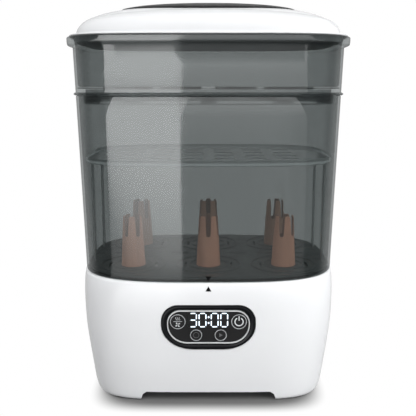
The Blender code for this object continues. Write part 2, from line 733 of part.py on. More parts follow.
def make_boards():
    corner = (0.0030, 0.0030)
    outline = rounded_outline(0.0930, 0.0400, corner, corner, (0.0, TRIM_Z), 2)
    board = prism_mesh("control_board", [(outline, BOARD_FRONT, BOARD_FRONT + 0.0016)])
    add_part("control_board", board, BOARD)

    low = BOTTOM_PLATE[1] + 0.0060
    power_box = ((-0.1000, -0.0400, low), (-0.0450, 0.0300, low + 0.0016))
    power = add_part("power_board", boxes_mesh("power_board", [power_box]), BOARD)
    legs = []
    for x in (-0.0960, -0.0490):
        for y in (-0.0360, 0.0260):
            legs.append(((x, y, BOTTOM_PLATE[1] + GAP + 0.0033), 0.0022, 0.0066))
    boolean(power, add_cutter("power_legs", rods_mesh("power_legs", legs, segments=10)), "UNION")
    top = low + 0.0016 + GAP
    core_box = ((-0.0950, -0.0300, top), (-0.0650, -0.0040, top + 0.0220))
    core = add_part("transformer", boxes_mesh("transformer", [core_box]), COPPER)
    bevel(core, 0.0020, 2)
    relay_box = ((-0.0940, 0.0060, top), (-0.0750, 0.0220, top + 0.0150))
    relay = add_part("power_relay", boxes_mesh("power_relay", [relay_box]), DARK)
    bevel(relay, 0.0010, 1)

    inlet_box = ((0.0580, 0.0752, 0.0220), (0.0820, 0.0940, 0.0380))
    inlet = add_part("power_inlet", boxes_mesh("power_inlet", [inlet_box]), BLACK)
    corner = (0.0042, 0.0042)
    socket = rounded_outline(0.0150, 0.0086, corner, corner, (0.0700, 0.0300))
    boolean(inlet, add_cutter("inlet_socket", prism_mesh("inlet_socket", [(socket, 0.0802, 0.1100)])))
    pins = [((x, 0.0842, 0.0300), 0.0011, 0.0120) for x in (0.0660, 0.0740)]
    boolean(inlet, add_cutter("inlet_pins", rods_mesh("inlet_pins", pins, "Y", 10)), "UNION")


# Bottle container with its tray and posts


def make_bottle_container():
    heights = (CONTAINER_TOP, 0.2700, 0.2350, 0.2000, 0.1650, 0.1320)
    outer = [stack_level(z) for z in heights]
    foot = [
        stack_level(CONTAINER_FOOT, 0.0006),
        stack_level(CONTAINER_FOOT, 0.0080),
        stack_level(LEDGE_TOP, 0.0080),
        stack_level(LEDGE_TOP, WALL),
    ]
    inner = [stack_level(z, WALL) for z in reversed(heights)]
    mesh = plan_mesh("bottle_container", outer + foot + inner, closed=True)
    smooth(add_part("bottle_container", mesh, SMOKE))


def make_bottle_tray():
    under = LEDGE_TOP + GAP
    rim = stack_level(BOTTLE_FLOOR, WALL + 0.0005)
    levels = [
        rim,
        (under, *rim[1:]),
        (under, 0.1150, 0.0806, rim[3]),
        (WELL_FLOOR + 0.0070, 0.1150, 0.0806, rim[3]),
        (WELL_FLOOR + 0.0070, 0.1130, 0.0786, rim[3]),
        (under, 0.1130, 0.0786, rim[3]),
    ]
    tray = add_part("bottle_tray", plan_mesh("bottle_tray", levels), DARK)
    low, high = under - 0.0040, BOTTLE_FLOOR + 0.0040
    slots = []
    for x in POST_COLUMNS:
        for y in POST_ROWS:
            for dx in (-0.0240, 0.0240):
                slots.append(((x + dx - 0.0015, y - 0.0090, low), (x + dx + 0.0015, y + 0.0090, high)))
    for i in range(7):
        x = -0.0960 + 0.0320 * i
        slots.append(((x - 0.0100, -0.0020, low), (x + 0.0100, 0.0020, high)))
    boolean(tray, add_cutter("drain_slots", boxes_mesh("drain_slots", slots)))
    smooth(tray)


def post_slits_mesh():
    """The U-shaped slits between a post's prongs."""
    half = POST_SLIT_WIDTH / 2
    floor = POST_HEIGHT - POST_SLIT_DEPTH + half
    outline = []
    for i in range(5):
        angle = math.radians(180.0 + 45.0 * i)
        outline.append((half * math.cos(angle), floor + half * math.sin(angle)))
    outline += [(half * 1.25, POST_HEIGHT + 0.0050), (-half * 1.25, POST_HEIGHT + 0.0050)]
    cage = bmesh.new()
    for prong in range(POST_PRONGS):
        spin = Matrix.Rotation(2 * math.pi * prong / POST_PRONGS, 4, "Z")
        part = prism_mesh("slit", [(outline, -0.0200, -0.0052)], spin)
        cage.from_mesh(part)
        bpy.data.meshes.remove(part)
    return finish_mesh("post_slits", cage)


def make_bottle_posts():
    taper = (POST_FOOT_RADIUS - POST_HEAD_RADIUS) / POST_HEIGHT
    tip = POST_HEAD_RADIUS - 0.0006
    profile = [
        (tip, POST_HEIGHT),
        (POST_HEAD_RADIUS + 0.0020 * taper, POST_HEIGHT - 0.0020),
        (POST_FOOT_RADIUS, 0.0),
        (POST_FOOT_RADIUS - POST_WALL, 0.0),
        (POST_HEAD_RADIUS - POST_WALL, POST_HEIGHT),
    ]
    shape = turned_mesh("bottle_post", profile, 20, closed=True)
    slits = post_slits_mesh()
    rows = ("front", "rear")
    columns = ("left", "middle", "right")
    for row, y in zip(rows, POST_ROWS):
        for column, x, turn in zip(columns, POST_COLUMNS, POST_TURNS):
            name = f"bottle_post_{row}_{column}"
            post = add_part(name, shape.copy(), CORAL)
            cutter = add_cutter(name + "_slits", slits)
            for obj in (post, cutter):
                obj.location = (x, y, BOTTLE_FLOOR + GAP)
                obj.rotation_euler.z = math.radians(turn)
            boolean(post, cutter)
            smooth(post)
    bpy.data.meshes.remove(shape)


# Nipple rack, accessory tray and lid


def make_nipple_rack():
    plate_top = RACK_BOTTOM + 0.0033
    rim_top = RACK_BOTTOM + 0.0060
    power = stack_level(RACK_BOTTOM)[3]
    levels = [
        (plate_top, 0.1265, 0.0893),
        (rim_top, 0.1272, 0.0900),
        (rim_top, 0.1290, 0.0918),
        (RACK_BOTTOM, 0.1282, 0.0910),
        (RACK_BOTTOM, 0.1266, 0.0894),
        (plate_top - 0.0016, 0.1260, 0.0888),
    ]
    levels = [(z, half_x, half_y, power) for z, half_x, half_y in levels]
    rack = add_part("nipple_rack", plan_mesh("nipple_rack", levels), CLEAR)
    windows = []
    rows = ((0.0740, 1), (0.0450, 2), (0.0150, 2))
    for row_y, reach in rows:
        for side in (-1, 1):
            for i in range(-reach, reach + 1):
                low = (0.0420 * i - 0.0170, side * row_y - 0.0060, RACK_BOTTOM - 0.0050)
                high = (0.0420 * i + 0.0170, side * row_y + 0.0060, rim_top + 0.0050)
                windows.append((low, high))
    boolean(rack, add_cutter("rack_windows", boxes_mesh("rack_windows", windows)))
    legs = []
    for x in (-0.1220, 0.1220):
        for y in (-0.0300, 0.0300):
            low = (x - 0.0010, y - 0.0045, BOTTLE_FLOOR + GAP)
            high = (x + 0.0010, y + 0.0045, plate_top - 0.0004)
            legs.append((low, high))
    boolean(rack, add_cutter("rack_legs", boxes_mesh("rack_legs", legs)), "UNION")
    smooth(rack)


def make_accessory_tray():
    floor_top = TRAY_FLOOR + 0.0025
    bead_low = CONTAINER_TOP + GAP
    bead_high = bead_low + 0.0026
    lip_foot = STACK_TOP - 0.0083
    lip = (
        (STACK_TOP, 0.1399, 0.0994),
        (STACK_TOP - 0.0008, 0.1408, 0.1003),
        (lip_foot + 0.0016, 0.1408, 0.1003),
        (lip_foot, 0.1398, 0.0993),
    )
    power = stack_level(TRAY_FLOOR)[3]
    levels = [
        stack_level(floor_top, WALL),
        stack_level(0.3350, WALL),
        stack_level(lip_foot, WALL),
        stack_level(STACK_TOP, 0.0010),
        *((z, half_x, half_y, LIP_POWER) for z, half_x, half_y in lip),
        stack_level(lip_foot),
        stack_level(0.3350),
        stack_level(bead_high),
        stack_level(bead_high - 0.0004, -0.0016),
        stack_level(bead_low + 0.0004, -0.0020),
        stack_level(bead_low, -0.0014),
        (bead_low, 0.1280, 0.0900, power),
        (0.2980, 0.1274, 0.0894, power),
        (0.2980, 0.1254, 0.0874, power),
        (TRAY_FLOOR, 0.1258, 0.0878, power),
    ]
    tray = add_part("accessory_tray", plan_mesh("accessory_tray", levels), SMOKE)
    windows = []
    for side in (-1, 1):
        for near, far in ((0.0072, 0.0610), (0.0805, 0.1040)):
            low_x, high_x = sorted((side * near, side * far))
            windows.append(((low_x, -0.1200, 0.2991), (high_x, 0.1200, 0.3027)))
    boolean(tray, add_cutter("skirt_windows", boxes_mesh("skirt_windows", windows)))
    slots = []
    for x in (-0.0840, -0.0280, 0.0280, 0.0840):
        for y in (-0.0540, -0.0180, 0.0180, 0.0540):
            slots.append(((x - 0.0200, y - 0.0020, 0.3100), (x + 0.0200, y + 0.0020, 0.3200)))
    boolean(tray, add_cutter("floor_slots", boxes_mesh("floor_slots", slots)))
    smooth(tray)


def make_lid():
    seat = STACK_TOP + GAP
    outer = (
        (LID_CROWN, 0.0900, 0.0540),
        (LID_CROWN - 0.0022, 0.1000, 0.0630),
        (0.3872, 0.1080, 0.0700),
        (0.3847, 0.1142, 0.0758),
        (0.3822, 0.1192, 0.0805),
        (0.3782, 0.1252, 0.0861),
        (0.3737, 0.1290, 0.0897),
        (0.3697, 0.1310, 0.0916),
        (0.3657, 0.1318, 0.0924),
        (seat + 0.0017, 0.1328, 0.0934),
        (seat + 0.0015, 0.1384, 0.0984),
        (seat, 0.1384, 0.0984),
        (seat, 0.1332, 0.0938),
        (0.3569, 0.1328, 0.0934),
        (0.3569, 0.1310, 0.0916),
        (0.3647, 0.1298, 0.0904),
        (0.3697, 0.1288, 0.0894),
        (0.3737, 0.1264, 0.0871),
        (0.3782, 0.1222, 0.0831),
        (0.3822, 0.1158, 0.0771),
        (0.3847, 0.1100, 0.0716),
        (LID_CROWN - 0.0024, 0.0960, 0.0590),
    )
    levels = []
    for z, half_x, half_y in outer:
        share = max(0.0, min(1.0, (LID_CROWN - z) / 0.025))
        levels.append((z, half_x, half_y, 2.4 + (LIP_POWER - 2.4) * share**0.8))
    lid = add_part("lid_dome", plan_mesh("lid_dome", levels), WHITE)
    vent = [((-0.0330, -0.0110, 0.3817), (0.0330, 0.0110, 0.4100))]
    boolean(lid, add_cutter("lid_vent", boxes_mesh("lid_vent", vent)))
    holes = [((x, 0.0, 0.3907), SCREW_SHANK + GAP, 0.0100) for x in (-0.0600, 0.0600)]
    boolean(lid, add_cutter("lid_screw_holes", rods_mesh("lid_screw_holes", holes, segments=12)))
    smooth(lid)

    rings = (
        (CAP_TOP, 0.0100, 0.0050),
        (0.3993, 0.0240, 0.0130),
        (0.3983, 0.0430, 0.0245),
        (0.3971, 0.0600, 0.0345),
        (0.3957, 0.0740, 0.0435),
        (0.3941, 0.0850, 0.0500),
        (0.3929, 0.0905, 0.0535),
        (LID_CROWN + GAP, 0.0910, 0.0540),
    )
    levels = [(z, half_x, half_y, 2.3) for z, half_x, half_y in rings]
    cap = add_part("lid_cap", plan_mesh("lid_cap", levels), BLACK)
    slots = []
    for i in range(7):
        x = -0.0270 + 0.0090 * i
        for y in (-0.0045, 0.0045):
            slots.append(((x - 0.0030, y - 0.0013, 0.3867), (x + 0.0030, y + 0.0013, 0.4100)))
    boolean(cap, add_cutter("cap_vents", boxes_mesh("cap_vents", slots)))
    sockets = [((x, 0.0, 0.3907), SCREW_SHANK + GAP, 0.0100) for x in (-0.0600, 0.0600)]
    boolean(cap, add_cutter("cap_sockets", rods_mesh("cap_sockets", sockets, segments=12)))
    smooth(cap)

    head = LID_CROWN - 0.0024 - GAP
    screw = [
        (0.0, 0.3953),
        (SCREW_SHANK, 0.3947),
        (SCREW_SHANK, head),
        (SCREW_HEAD, head),
        (SCREW_HEAD, head - 0.0012),
        (0.0022, head - 0.0020),
        (0.0, head - 0.0020),
    ]
    for name, x in (("lid_screw_left", -0.0600), ("lid_screw_right", 0.0600)):
        obj = add_part(name, turned_mesh(name, screw, 10), STEEL)
        obj.location.x = x
        smooth(obj)


def main():
    global parts, cutters
    clear_scene()
    parts = new_collection("bottle_sterilizer")
    cutters = new_collection("cutters")
    make_base_housing()
    make_base_deck()
    make_bottom_plate()
    make_feet_and_screws()
    make_heating()
    make_fan()
    make_air_path()
    make_filter()
    make_panel()
    make_buttons()
    make_boards()
    make_bottle_container()
    make_bottle_tray()
    make_bottle_posts()
    make_nipple_rack()
    make_accessory_tray()
    make_lid()


main()
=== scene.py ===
import json
import math
from functools import partial

import bmesh
import bpy
from mathutils import Matrix, Vector


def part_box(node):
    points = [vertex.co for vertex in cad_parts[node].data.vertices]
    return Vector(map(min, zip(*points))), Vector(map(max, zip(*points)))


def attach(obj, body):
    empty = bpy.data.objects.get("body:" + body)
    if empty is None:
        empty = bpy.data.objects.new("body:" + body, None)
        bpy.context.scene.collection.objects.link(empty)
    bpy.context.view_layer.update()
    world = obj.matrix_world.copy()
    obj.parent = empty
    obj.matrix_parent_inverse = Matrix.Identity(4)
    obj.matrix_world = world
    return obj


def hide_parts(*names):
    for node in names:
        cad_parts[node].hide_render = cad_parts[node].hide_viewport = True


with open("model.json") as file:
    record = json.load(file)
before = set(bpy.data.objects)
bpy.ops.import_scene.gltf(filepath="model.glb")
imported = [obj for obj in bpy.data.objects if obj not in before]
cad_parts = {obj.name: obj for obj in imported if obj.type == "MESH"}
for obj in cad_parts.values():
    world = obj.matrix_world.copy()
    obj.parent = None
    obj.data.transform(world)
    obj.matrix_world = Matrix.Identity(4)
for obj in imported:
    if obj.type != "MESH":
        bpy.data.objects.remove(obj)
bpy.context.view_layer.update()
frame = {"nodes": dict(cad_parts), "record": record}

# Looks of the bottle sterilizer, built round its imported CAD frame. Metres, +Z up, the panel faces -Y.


def middle_of(name):
    """The middle of a node's box, as (x, y, z)."""
    return tuple((low + high) / 2 for low, high in zip(*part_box(name)))


# Places that the frame gives
HOUSING_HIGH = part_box("base_housing")[1]
TUB_LOW, TUB_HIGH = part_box("bottle_container")
UPPER_LOW, UPPER_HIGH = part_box("accessory_tray")
LID_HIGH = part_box("lid_dome")[1]
CAP_LOW, CAP_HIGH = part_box("lid_cap")
RACK_LOW, RACK_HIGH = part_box("nipple_rack")
FLOOR_LOW, FLOOR_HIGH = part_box("bottle_tray")
BEZEL_LOW, BEZEL_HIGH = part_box("panel_bezel")
TRIM_LOW, TRIM_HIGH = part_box("panel_trim")
SCREEN_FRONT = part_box("display_module")[0].y
POSTS = sorted(name for name in frame["nodes"] if name.startswith("bottle_post_"))
POST_SPACING, POST_ROW = middle_of("bottle_post_rear_right")[:2]
BODY_OF_BUTTON = {
    "mode_button": "mode_key",
    "power_button": "power_key",
    "time_button": "time_key",
    "start_button": "start_key",
}

BASE_TOP = HOUSING_HIGH.z
SHOULDER = BASE_TOP - 0.0025  # where the housing's flank begins
SHOULDER_POWER = 3.25  # of the superellipse that is the housing's plan there
STACK_TOP = UPPER_HIGH.z
WALL = 0.0024  # thickness of the tubs
PLAY = 0.0008  # by which a rear opening is larger than the piece in it
GAP = 0.0003  # round the panel's parts
# Radii of the upper and the lower corners, each as (across, up)
PANEL_CORNERS = ((0.0168, 0.0168), (0.0317, 0.0251))
TRIM_CORNERS = ((0.0132, 0.0132), (0.0196, 0.0190))
RING = 144  # points round a plan outline
INK = 0.00010  # thickness of the printed marks
INK_LIFT = 0.00012  # from a button's face to the front of its mark
GLOW_LIFT, GLOW_BACK = 0.0002, 0.00002  # from the display's face to the front and back of its segments
# Slots in the upper tray's floor, each (x, y, length, width)
TRAY_SLOTS = [
    (x, y, 0.040, 0.004) for x in (-0.084, -0.028, 0.028, 0.084) for y in (-0.054, -0.018, 0.018, 0.054)
]

# Camera and studio
CAMERA_PLACE = (-0.0004, -0.690, 0.314)
CAMERA_PITCH = 10.8  # degrees below level
CAMERA_LENS = 54.6
FILL = 0.72  # light from all round on the surfaces' own colour
GLOSS_FILL = 0.06  # what gloss shows of the room in front
BACKDROP_GLOSS = 0.58  # and of the backdrop
CARD_Y = -1.5  # the front cards' distance
CARD_STEP = 0.002  # between cards that overlap
PURE_WHITE = (1.0, 1.0, 1.0, 1.0)


# Node helpers


def add_node(owner, kind, inputs=None, **settings):
    """A node of a material or the world. An input may be a number, a colour or another node's output."""
    node = owner.node_tree.nodes.new(kind)
    for key, value in settings.items():
        setattr(node, key, value)
    for key, value in (inputs or {}).items():
        if isinstance(value, bpy.types.NodeSocket):
            owner.node_tree.links.new(value, node.inputs[key])
        else:
            node.inputs[key].default_value = value
    return node


def new_material(name):
    material = bpy.data.materials.new(name)
    material.use_nodes = True
    material.node_tree.nodes.clear()
    return material


def set_surface(material, shader):
    add_node(material, "ShaderNodeOutputMaterial", {"Surface": shader.outputs[0]})
    return material


def set_principled(material, inputs):
    return set_surface(material, add_node(material, "ShaderNodeBsdfPrincipled", inputs))


def noise(material, scale, detail=2.0, roughness=0.5, stretch=(1.0, 1.0, 1.0)):
    """Noise in object space; stretch squeezes its grain along an axis."""
    mapping = add_node(material, "ShaderNodeMapping", {"Vector": object_point(material), "Scale": stretch})
    source = {"Vector": mapping.outputs[0], "Scale": scale, "Detail": detail, "Roughness": roughness}
    return add_node(material, "ShaderNodeTexNoise", source).outputs["Fac"]


def spread(owner, value, low, high, start=0.35, end=0.65, **settings):
    """Carries a value from the range start to end, which suits noise, to the range low to high."""
    source = {"Value": value, "From Min": start, "From Max": end, "To Min": low, "To Max": high}
    return add_node(owner, "ShaderNodeMapRange", source, **settings).outputs[0]


def calculate(material, operation, first, second=0.0, **settings):
    source = {0: first, 1: second}
    return add_node(material, "ShaderNodeMath", source, operation=operation, **settings).outputs[0]


def mixed(owner, factor, first, second):
    """The first shader, which gives way to the second as the factor rises."""
    source = {0: factor, 1: first.outputs[0], 2: second.outputs[0]}
    return add_node(owner, "ShaderNodeMixShader", source)


def object_point(material):
    return add_node(material, "ShaderNodeTexCoord").outputs["Object"]


def shade(material, value, low, high):
    """A colour between two, by a value. A colour may be another node's output."""
    first, second = (each if isinstance(each, bpy.types.NodeSocket) else (*each, 1.0) for each in (low, high))
    return add_node(material, "ShaderNodeMix", {0: value, 6: first, 7: second}, data_type="RGBA").outputs[2]


def scaled(color, factor):
    return tuple(min(1.0, part * factor) for part in color)


def grain_bump(material, scale, depth, strength=0.4, stretch=(1.0, 1.0, 1.0), detail=3.0):
    height = noise(material, scale, detail, 0.6, stretch)
    source = {"Height": height, "Strength": strength, "Distance": depth}
    return add_node(material, "ShaderNodeBump", source).outputs[0]


def moulded(name, color, roughness, mottle=0.03, grain=900.0, depth=0.00004, specular=0.5, **extra):
    """Moulded plastic: faint colour drift, uneven sheen and a fine surface grain."""
    material = new_material(name)
    drift = spread(material, noise(material, 14.0, 4.0), 0.0, 1.0)
    inputs = {
        "Base Color": shade(material, drift, scaled(color, 1.0 - mottle), scaled(color, 1.0 + mottle)),
        "Roughness": spread(material, noise(material, 70.0, 5.0), roughness * 0.8, roughness * 1.25),
        "Normal": grain_bump(material, grain, depth),
        "Specular IOR Level": specular,
        **extra,
    }
    return set_principled(material, inputs)


def see_through(name, tint, body, density, edge_density, roughness=0.05):
    """Tinted clear plastic: more body colour where a wall is seen along its face, and less gloss inside."""
    material = new_material(name)
    slant = add_node(material, "ShaderNodeLayerWeight", {"Blend": 0.5}).outputs["Facing"]
    along = spread(material, slant, 0.0, 1.0, 0.72, 0.98)
    passed = shade(material, along, tint, scaled(tint, 0.55))
    clear = add_node(material, "ShaderNodeBsdfTransparent", {"Color": passed})
    drift = spread(material, noise(material, 18.0, 4.0), 0.0, 1.0)
    inputs = {
        "Base Color": shade(material, drift, scaled(body, 0.93), scaled(body, 1.07)),
        "Roughness": spread(material, noise(material, 60.0, 4.0), roughness, roughness * 1.8),
        "Normal": grain_bump(material, 120.0, 0.00003, 0.15, detail=1.0),
    }
    solid = add_node(material, "ShaderNodeBsdfPrincipled", inputs)
    facing = add_node(material, "ShaderNodeLayerWeight", {"Blend": 0.35}).outputs["Facing"]
    amount = spread(material, facing, density, edge_density, 0.75, 1.0)
    wall = mixed(material, amount, clear, solid)

    mirror = spread(material, calculate(material, "POWER", slant, 5.0), 0.050, 0.45, 0.0, 1.0)
    place = add_node(material, "ShaderNodeTexCoord")
    inputs = {0: place.outputs["Object"], 1: place.outputs["Normal"]}
    outward = add_node(material, "ShaderNodeVectorMath", inputs, operation="DOT_PRODUCT").outputs["Value"]
    side = spread(material, outward, 0.2, 1.0, -0.01, 0.01)
    rim = spread(material, slant, 1.0, 0.35, 0.80, 1.0)
    fresnel = calculate(material, "MULTIPLY", calculate(material, "MULTIPLY", mirror, side), rim)
    inputs = {"Color": PURE_WHITE, "Roughness": roughness}
    gloss = add_node(material, "ShaderNodeBsdfGlossy", inputs)
    return set_surface(material, mixed(material, fresnel, wall, gloss))


def metal(name, color, roughness, scale=220.0, stretch=(1.0, 14.0, 1.0), depth=0.00003):
    """Brushed or drawn metal: fine streaks in its sheen and height."""
    material = new_material(name)
    streaks = noise(material, scale, 3.0, 0.6, stretch)
    inputs = {
        "Base Color": shade(material, streaks, scaled(color, 0.88), scaled(color, 1.06)),
        "Roughness": spread(material, streaks, roughness * 0.7, roughness * 1.4),
        "Normal": grain_bump(material, scale * 2, depth, 0.5, stretch),
        "Metallic": 1.0,
    }
    return set_principled(material, inputs)


def glowing(name, color, strength):
    """Lit display ink: brightness drifts a little, as over a light guide."""
    material = new_material(name)
    drift = spread(material, noise(material, 90.0, 2.0), 0.0, 1.0)
    glow = shade(material, drift, scaled(color, 0.86), color)
    inputs = {"Base Color": (*color, 1.0), "Emission Color": glow, "Emission Strength": strength}
    return set_principled(material, inputs)


def coral(name, near, far, spacing, row):
    """Translucent coral plastic with painted shade: the rear row is painted darker and browner, and each
    hollow post is painted dark inside.

    The posts stand at multiples of the spacing along X and at plus and minus the row's distance along Y.
    """
    material = new_material(name)
    math_node = partial(calculate, material)
    place = add_node(material, "ShaderNodeTexCoord")
    point = add_node(material, "ShaderNodeSeparateXYZ", {0: place.outputs["Object"]})
    normal = add_node(material, "ShaderNodeSeparateXYZ", {0: place.outputs["Normal"]})
    column = math_node("ROUND", math_node("DIVIDE", point.outputs["X"], spacing))
    local_x = math_node("SUBTRACT", point.outputs["X"], math_node("MULTIPLY", column, spacing))
    side = math_node("SIGN", point.outputs["Y"])
    local_y = math_node("SUBTRACT", point.outputs["Y"], math_node("MULTIPLY", side, row))
    outward = math_node(
        "ADD",
        math_node("MULTIPLY", local_x, normal.outputs["X"]),
        math_node("MULTIPLY", local_y, normal.outputs["Y"]),
    )
    # Painted shade: the inside of each hollow post is painted dark.
    lit = spread(material, outward, 0.25, 1.0, -0.004, 0.002)
    # Painted shade: the rear row is painted darker and browner; the streaks add random tone to it.
    rear = spread(material, side, 0.0, 1.0, -1.0, 1.0)
    streaks = spread(material, noise(material, 160.0, 3.0, 0.5, (1.0, 1.0, 0.12)), 0.0, 0.25)
    row_shade = shade(material, math_node("ADD", rear, streaks, use_clamp=True), near, far)
    color = shade(material, lit, scaled(far, 0.12), row_shade)
    inputs = {
        "Base Color": color,
        "Roughness": spread(material, noise(material, 70.0, 5.0), 0.34, 0.52),
        "Normal": grain_bump(material, 800.0, 0.00004),
        # A faint glow of the post's own colour paints the light that passes through the plastic.
        "Emission Color": color,
        "Emission Strength": 0.10,
    }
    return set_principled(material, inputs)


def pleated(name, color):
    """Folded filter paper, painted darker in the valleys of its folds as shade."""
    material = new_material(name)
    source = {"Vector": object_point(material), "Scale": 110.0, "Distortion": 0.4, "Detail": 1.0}
    folds = add_node(material, "ShaderNodeTexWave", source, bands_direction="X").outputs["Fac"]
    bump = add_node(material, "ShaderNodeBump", {"Height": folds, "Strength": 0.9, "Distance": 0.0008})
    inputs = {
        "Base Color": shade(material, folds, scaled(color, 0.72), color),
        "Roughness": spread(material, noise(material, 400.0, 3.0), 0.85, 1.0),
        "Normal": bump.outputs[0],
    }
    return set_principled(material, inputs)


WHITE = moulded("white_shell", (0.80, 0.81, 0.825), 0.16, 0.012, 1100.0, 0.000015, 0.4)
# The same white plastic as the shell, in a darker copy that paints shade on the lid to hold down the light
# falling on it.
LID_WHITE_SHADED = moulded("white_lid_shaded", (0.66, 0.668, 0.68), 0.16, 0.012, 1100.0, 0.000015, 0.4)
SMOKE = see_through("smoke_tub", (0.61, 0.628, 0.628), (0.13, 0.15, 0.15), 0.06, 0.40)
SMOKE_DEEP = see_through("smoke_deep", (0.60, 0.62, 0.62), (0.06, 0.07, 0.07), 0.18, 0.30)
CLEAR = see_through("clear_rack", (0.80, 0.82, 0.82), (0.85, 0.87, 0.87), 0.34, 0.85)
# Painted highlight: the bead on the rack's rim glows with its own light to show bright rim lines.
RACK_HIGHLIGHT = moulded(
    "rack_painted_highlight", (0.86, 0.88, 0.88), 0.22, 0.10, 300.0, 0.00002,
    **{"Emission Color": (0.86, 0.90, 0.90, 1.0), "Emission Strength": 0.42}
)
DARK = moulded("dark_tray", (0.115, 0.127, 0.127), 0.38, 0.08, 700.0, 0.00006)
# The second colour is the painted shade of the rear row.
CORAL = coral("coral_post", (0.95, 0.47, 0.31), (0.46, 0.26, 0.17), POST_SPACING, POST_ROW)
BLACK_GLOSS = moulded("black_panel", (0.006, 0.0065, 0.0075), 0.18, 0.10, 1200.0, 0.00001, 0.18)
FACE_BLACK = moulded("panel_ink", (0.013, 0.013, 0.0135), 0.42, 0.12, 1500.0, 0.00003, 0.18)
BLACK_PART = moulded("black_part", (0.022, 0.022, 0.024), 0.45, 0.10, 600.0, 0.00006)
TRIM = moulded("bright_trim", (0.66, 0.67, 0.68), 0.30, 0.04, 900.0, 0.00001, Metallic=0.15)
PLATE_STEEL = metal("steel_plate", (0.66, 0.65, 0.63), 0.28)
PLAIN_STEEL = metal("steel_part", (0.52, 0.52, 0.51), 0.36)
RUBBER = moulded("foot_rubber", (0.028, 0.028, 0.028), 0.85, 0.12, 500.0, 0.00012)
SILICONE = moulded("seal_silicone", (0.52, 0.53, 0.53), 0.55, 0.04, 500.0, 0.00005)
BOARD = moulded("circuit_board", (0.025, 0.15, 0.065), 0.45, 0.15, 300.0, 0.00006)
FILTER = pleated("filter_pad", (0.78, 0.79, 0.76))
COPPER = metal("copper_part", (0.75, 0.36, 0.20), 0.35, 160.0, (1.0, 1.0, 22.0), 0.00015)
LIT = glowing("lit_segments", (0.80, 0.91, 1.0), 1.0)
ICON = moulded("printed_icons", (0.62, 0.64, 0.66), 0.45, 0.06, 1500.0, 0.00001)
FAINT_ICON = moulded("faint_icons", (0.12, 0.12, 0.125), 0.45, 0.10, 1500.0, 0.00001)
MARK = moulded("printed_marks", (0.004, 0.004, 0.0045), 0.55, 0.10, 1500.0, 0.00001, 0.05)
CAP_BLACK = moulded("cap_black", (0.006, 0.006, 0.0065), 0.32, 0.10, 1200.0, 0.00001, 0.18)

NODE_LOOKS = {
    "white_shell": WHITE,
    "smoke_tub": SMOKE,
    "clear_rack": CLEAR,
    "dark_tray": DARK,
    "coral_post": CORAL,
    "black_panel": BLACK_GLOSS,
    "black_part": BLACK_PART,
    "bright_trim": TRIM,
    "steel_plate": PLATE_STEEL,
    "steel_part": PLAIN_STEEL,
    "foot_rubber": RUBBER,
    "seal_silicone": SILICONE,
    "circuit_board": BOARD,
    "filter_pad": FILTER,
    "copper_part": COPPER,
}


# Mesh helpers


def finish_mesh(name, cage):
    bmesh.ops.recalc_face_normals(cage, faces=cage.faces)
    mesh = bpy.data.meshes.new(name)
    cage.to_mesh(mesh)
    cage.free()
    return mesh


def linked(name, data):
    """A new object in the scene."""
    obj = bpy.data.objects.new(name, data)
    bpy.context.scene.collection.objects.link(obj)
    return obj


def add_piece(name, mesh, material, body, angle=32.0):
    """A piece that rides on a body. Edges that turn by more than the angle, in degrees, stay sharp."""
    obj = linked(name, mesh)
    mesh.materials.clear()
    mesh.materials.append(material)
    mesh.shade_smooth()
    mesh.set_sharp_from_angle(angle=math.radians(angle))
    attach(obj, body)
    return obj


def without(mesh, cutter):
    """The mesh with another cut from it."""
    obj = linked("boolean_source", mesh)
    tool = linked("boolean_tool", cutter)
    modifier = obj.modifiers.new("boolean", "BOOLEAN")
    modifier.operation = "DIFFERENCE"
    modifier.solver = "EXACT"
    modifier.object = tool
    bpy.context.view_layer.update()
    result = bpy.data.meshes.new_from_object(obj.evaluated_get(bpy.context.evaluated_depsgraph_get()))
    for each in (obj, tool):
        bpy.data.objects.remove(each)
    return result


def superellipse(half_x, half_y, power):
    ring = []
    for i in range(RING):
        angle = 2 * math.pi * i / RING
        cos, sin = math.cos(angle), math.sin(angle)
        x = math.copysign(abs(cos) ** (2 / power), cos) * half_x
        y = math.copysign(abs(sin) ** (2 / power), sin) * half_y
        ring.append((x, y))
    return ring


def add_loft(cage, rings, closed=False):
    """Adds a solid through rings of points, capped at both ends unless it closes on itself."""
    loops = [[cage.verts.new(point) for point in ring] for ring in rings]
    pairs = list(zip(loops, loops[1:]))
    if closed:
        pairs.append((loops[-1], loops[0]))
    else:
        cage.faces.new(loops[0])
        cage.faces.new(reversed(loops[-1]))
    count = len(loops[0])
    for first, second in pairs:
        for i in range(count):
            k = (i + 1) % count
            cage.faces.new((first[i], second[i], second[k], first[k]))


def loft(name, rings, closed=False):
    cage = bmesh.new()
    add_loft(cage, rings, closed)
    return finish_mesh(name, cage)


def plan_loft(name, levels, closed=False):
    """Loft through superellipses, each level being (z, half_x, half_y, power)."""
    rings = [[(x, y, z) for x, y in superellipse(hx, hy, power)] for z, hx, hy, power in levels]
    return loft(name, rings, closed)


def curve_through(levels, steps=5):
    """A smooth Catmull-Rom run through levels of any number of values."""
    points = [levels[0], *levels, levels[-1]]
    run = []
    for a, b, c, d in zip(points, points[1:], points[2:], points[3:]):
        for step in range(steps):
            t = step / steps
            run.append(tuple(
                0.5 * (2 * q + (r - p) * t + (2 * p - 5 * q + 4 * r - s) * t**2
                       + (3 * q - p - 3 * r + s) * t**3)
                for p, q, r, s in zip(a, b, c, d)
            ))
    run.append(tuple(levels[-1]))
    return run


def boxes(name, corners):
    cage = bmesh.new()
    for low, high in corners:
        low, high = Vector(low), Vector(high)
        place = Matrix.Translation((low + high) / 2) @ Matrix.Diagonal((*(high - low), 1.0))
        bmesh.ops.create_cube(cage, size=1.0, matrix=place)
    return finish_mesh(name, cage)


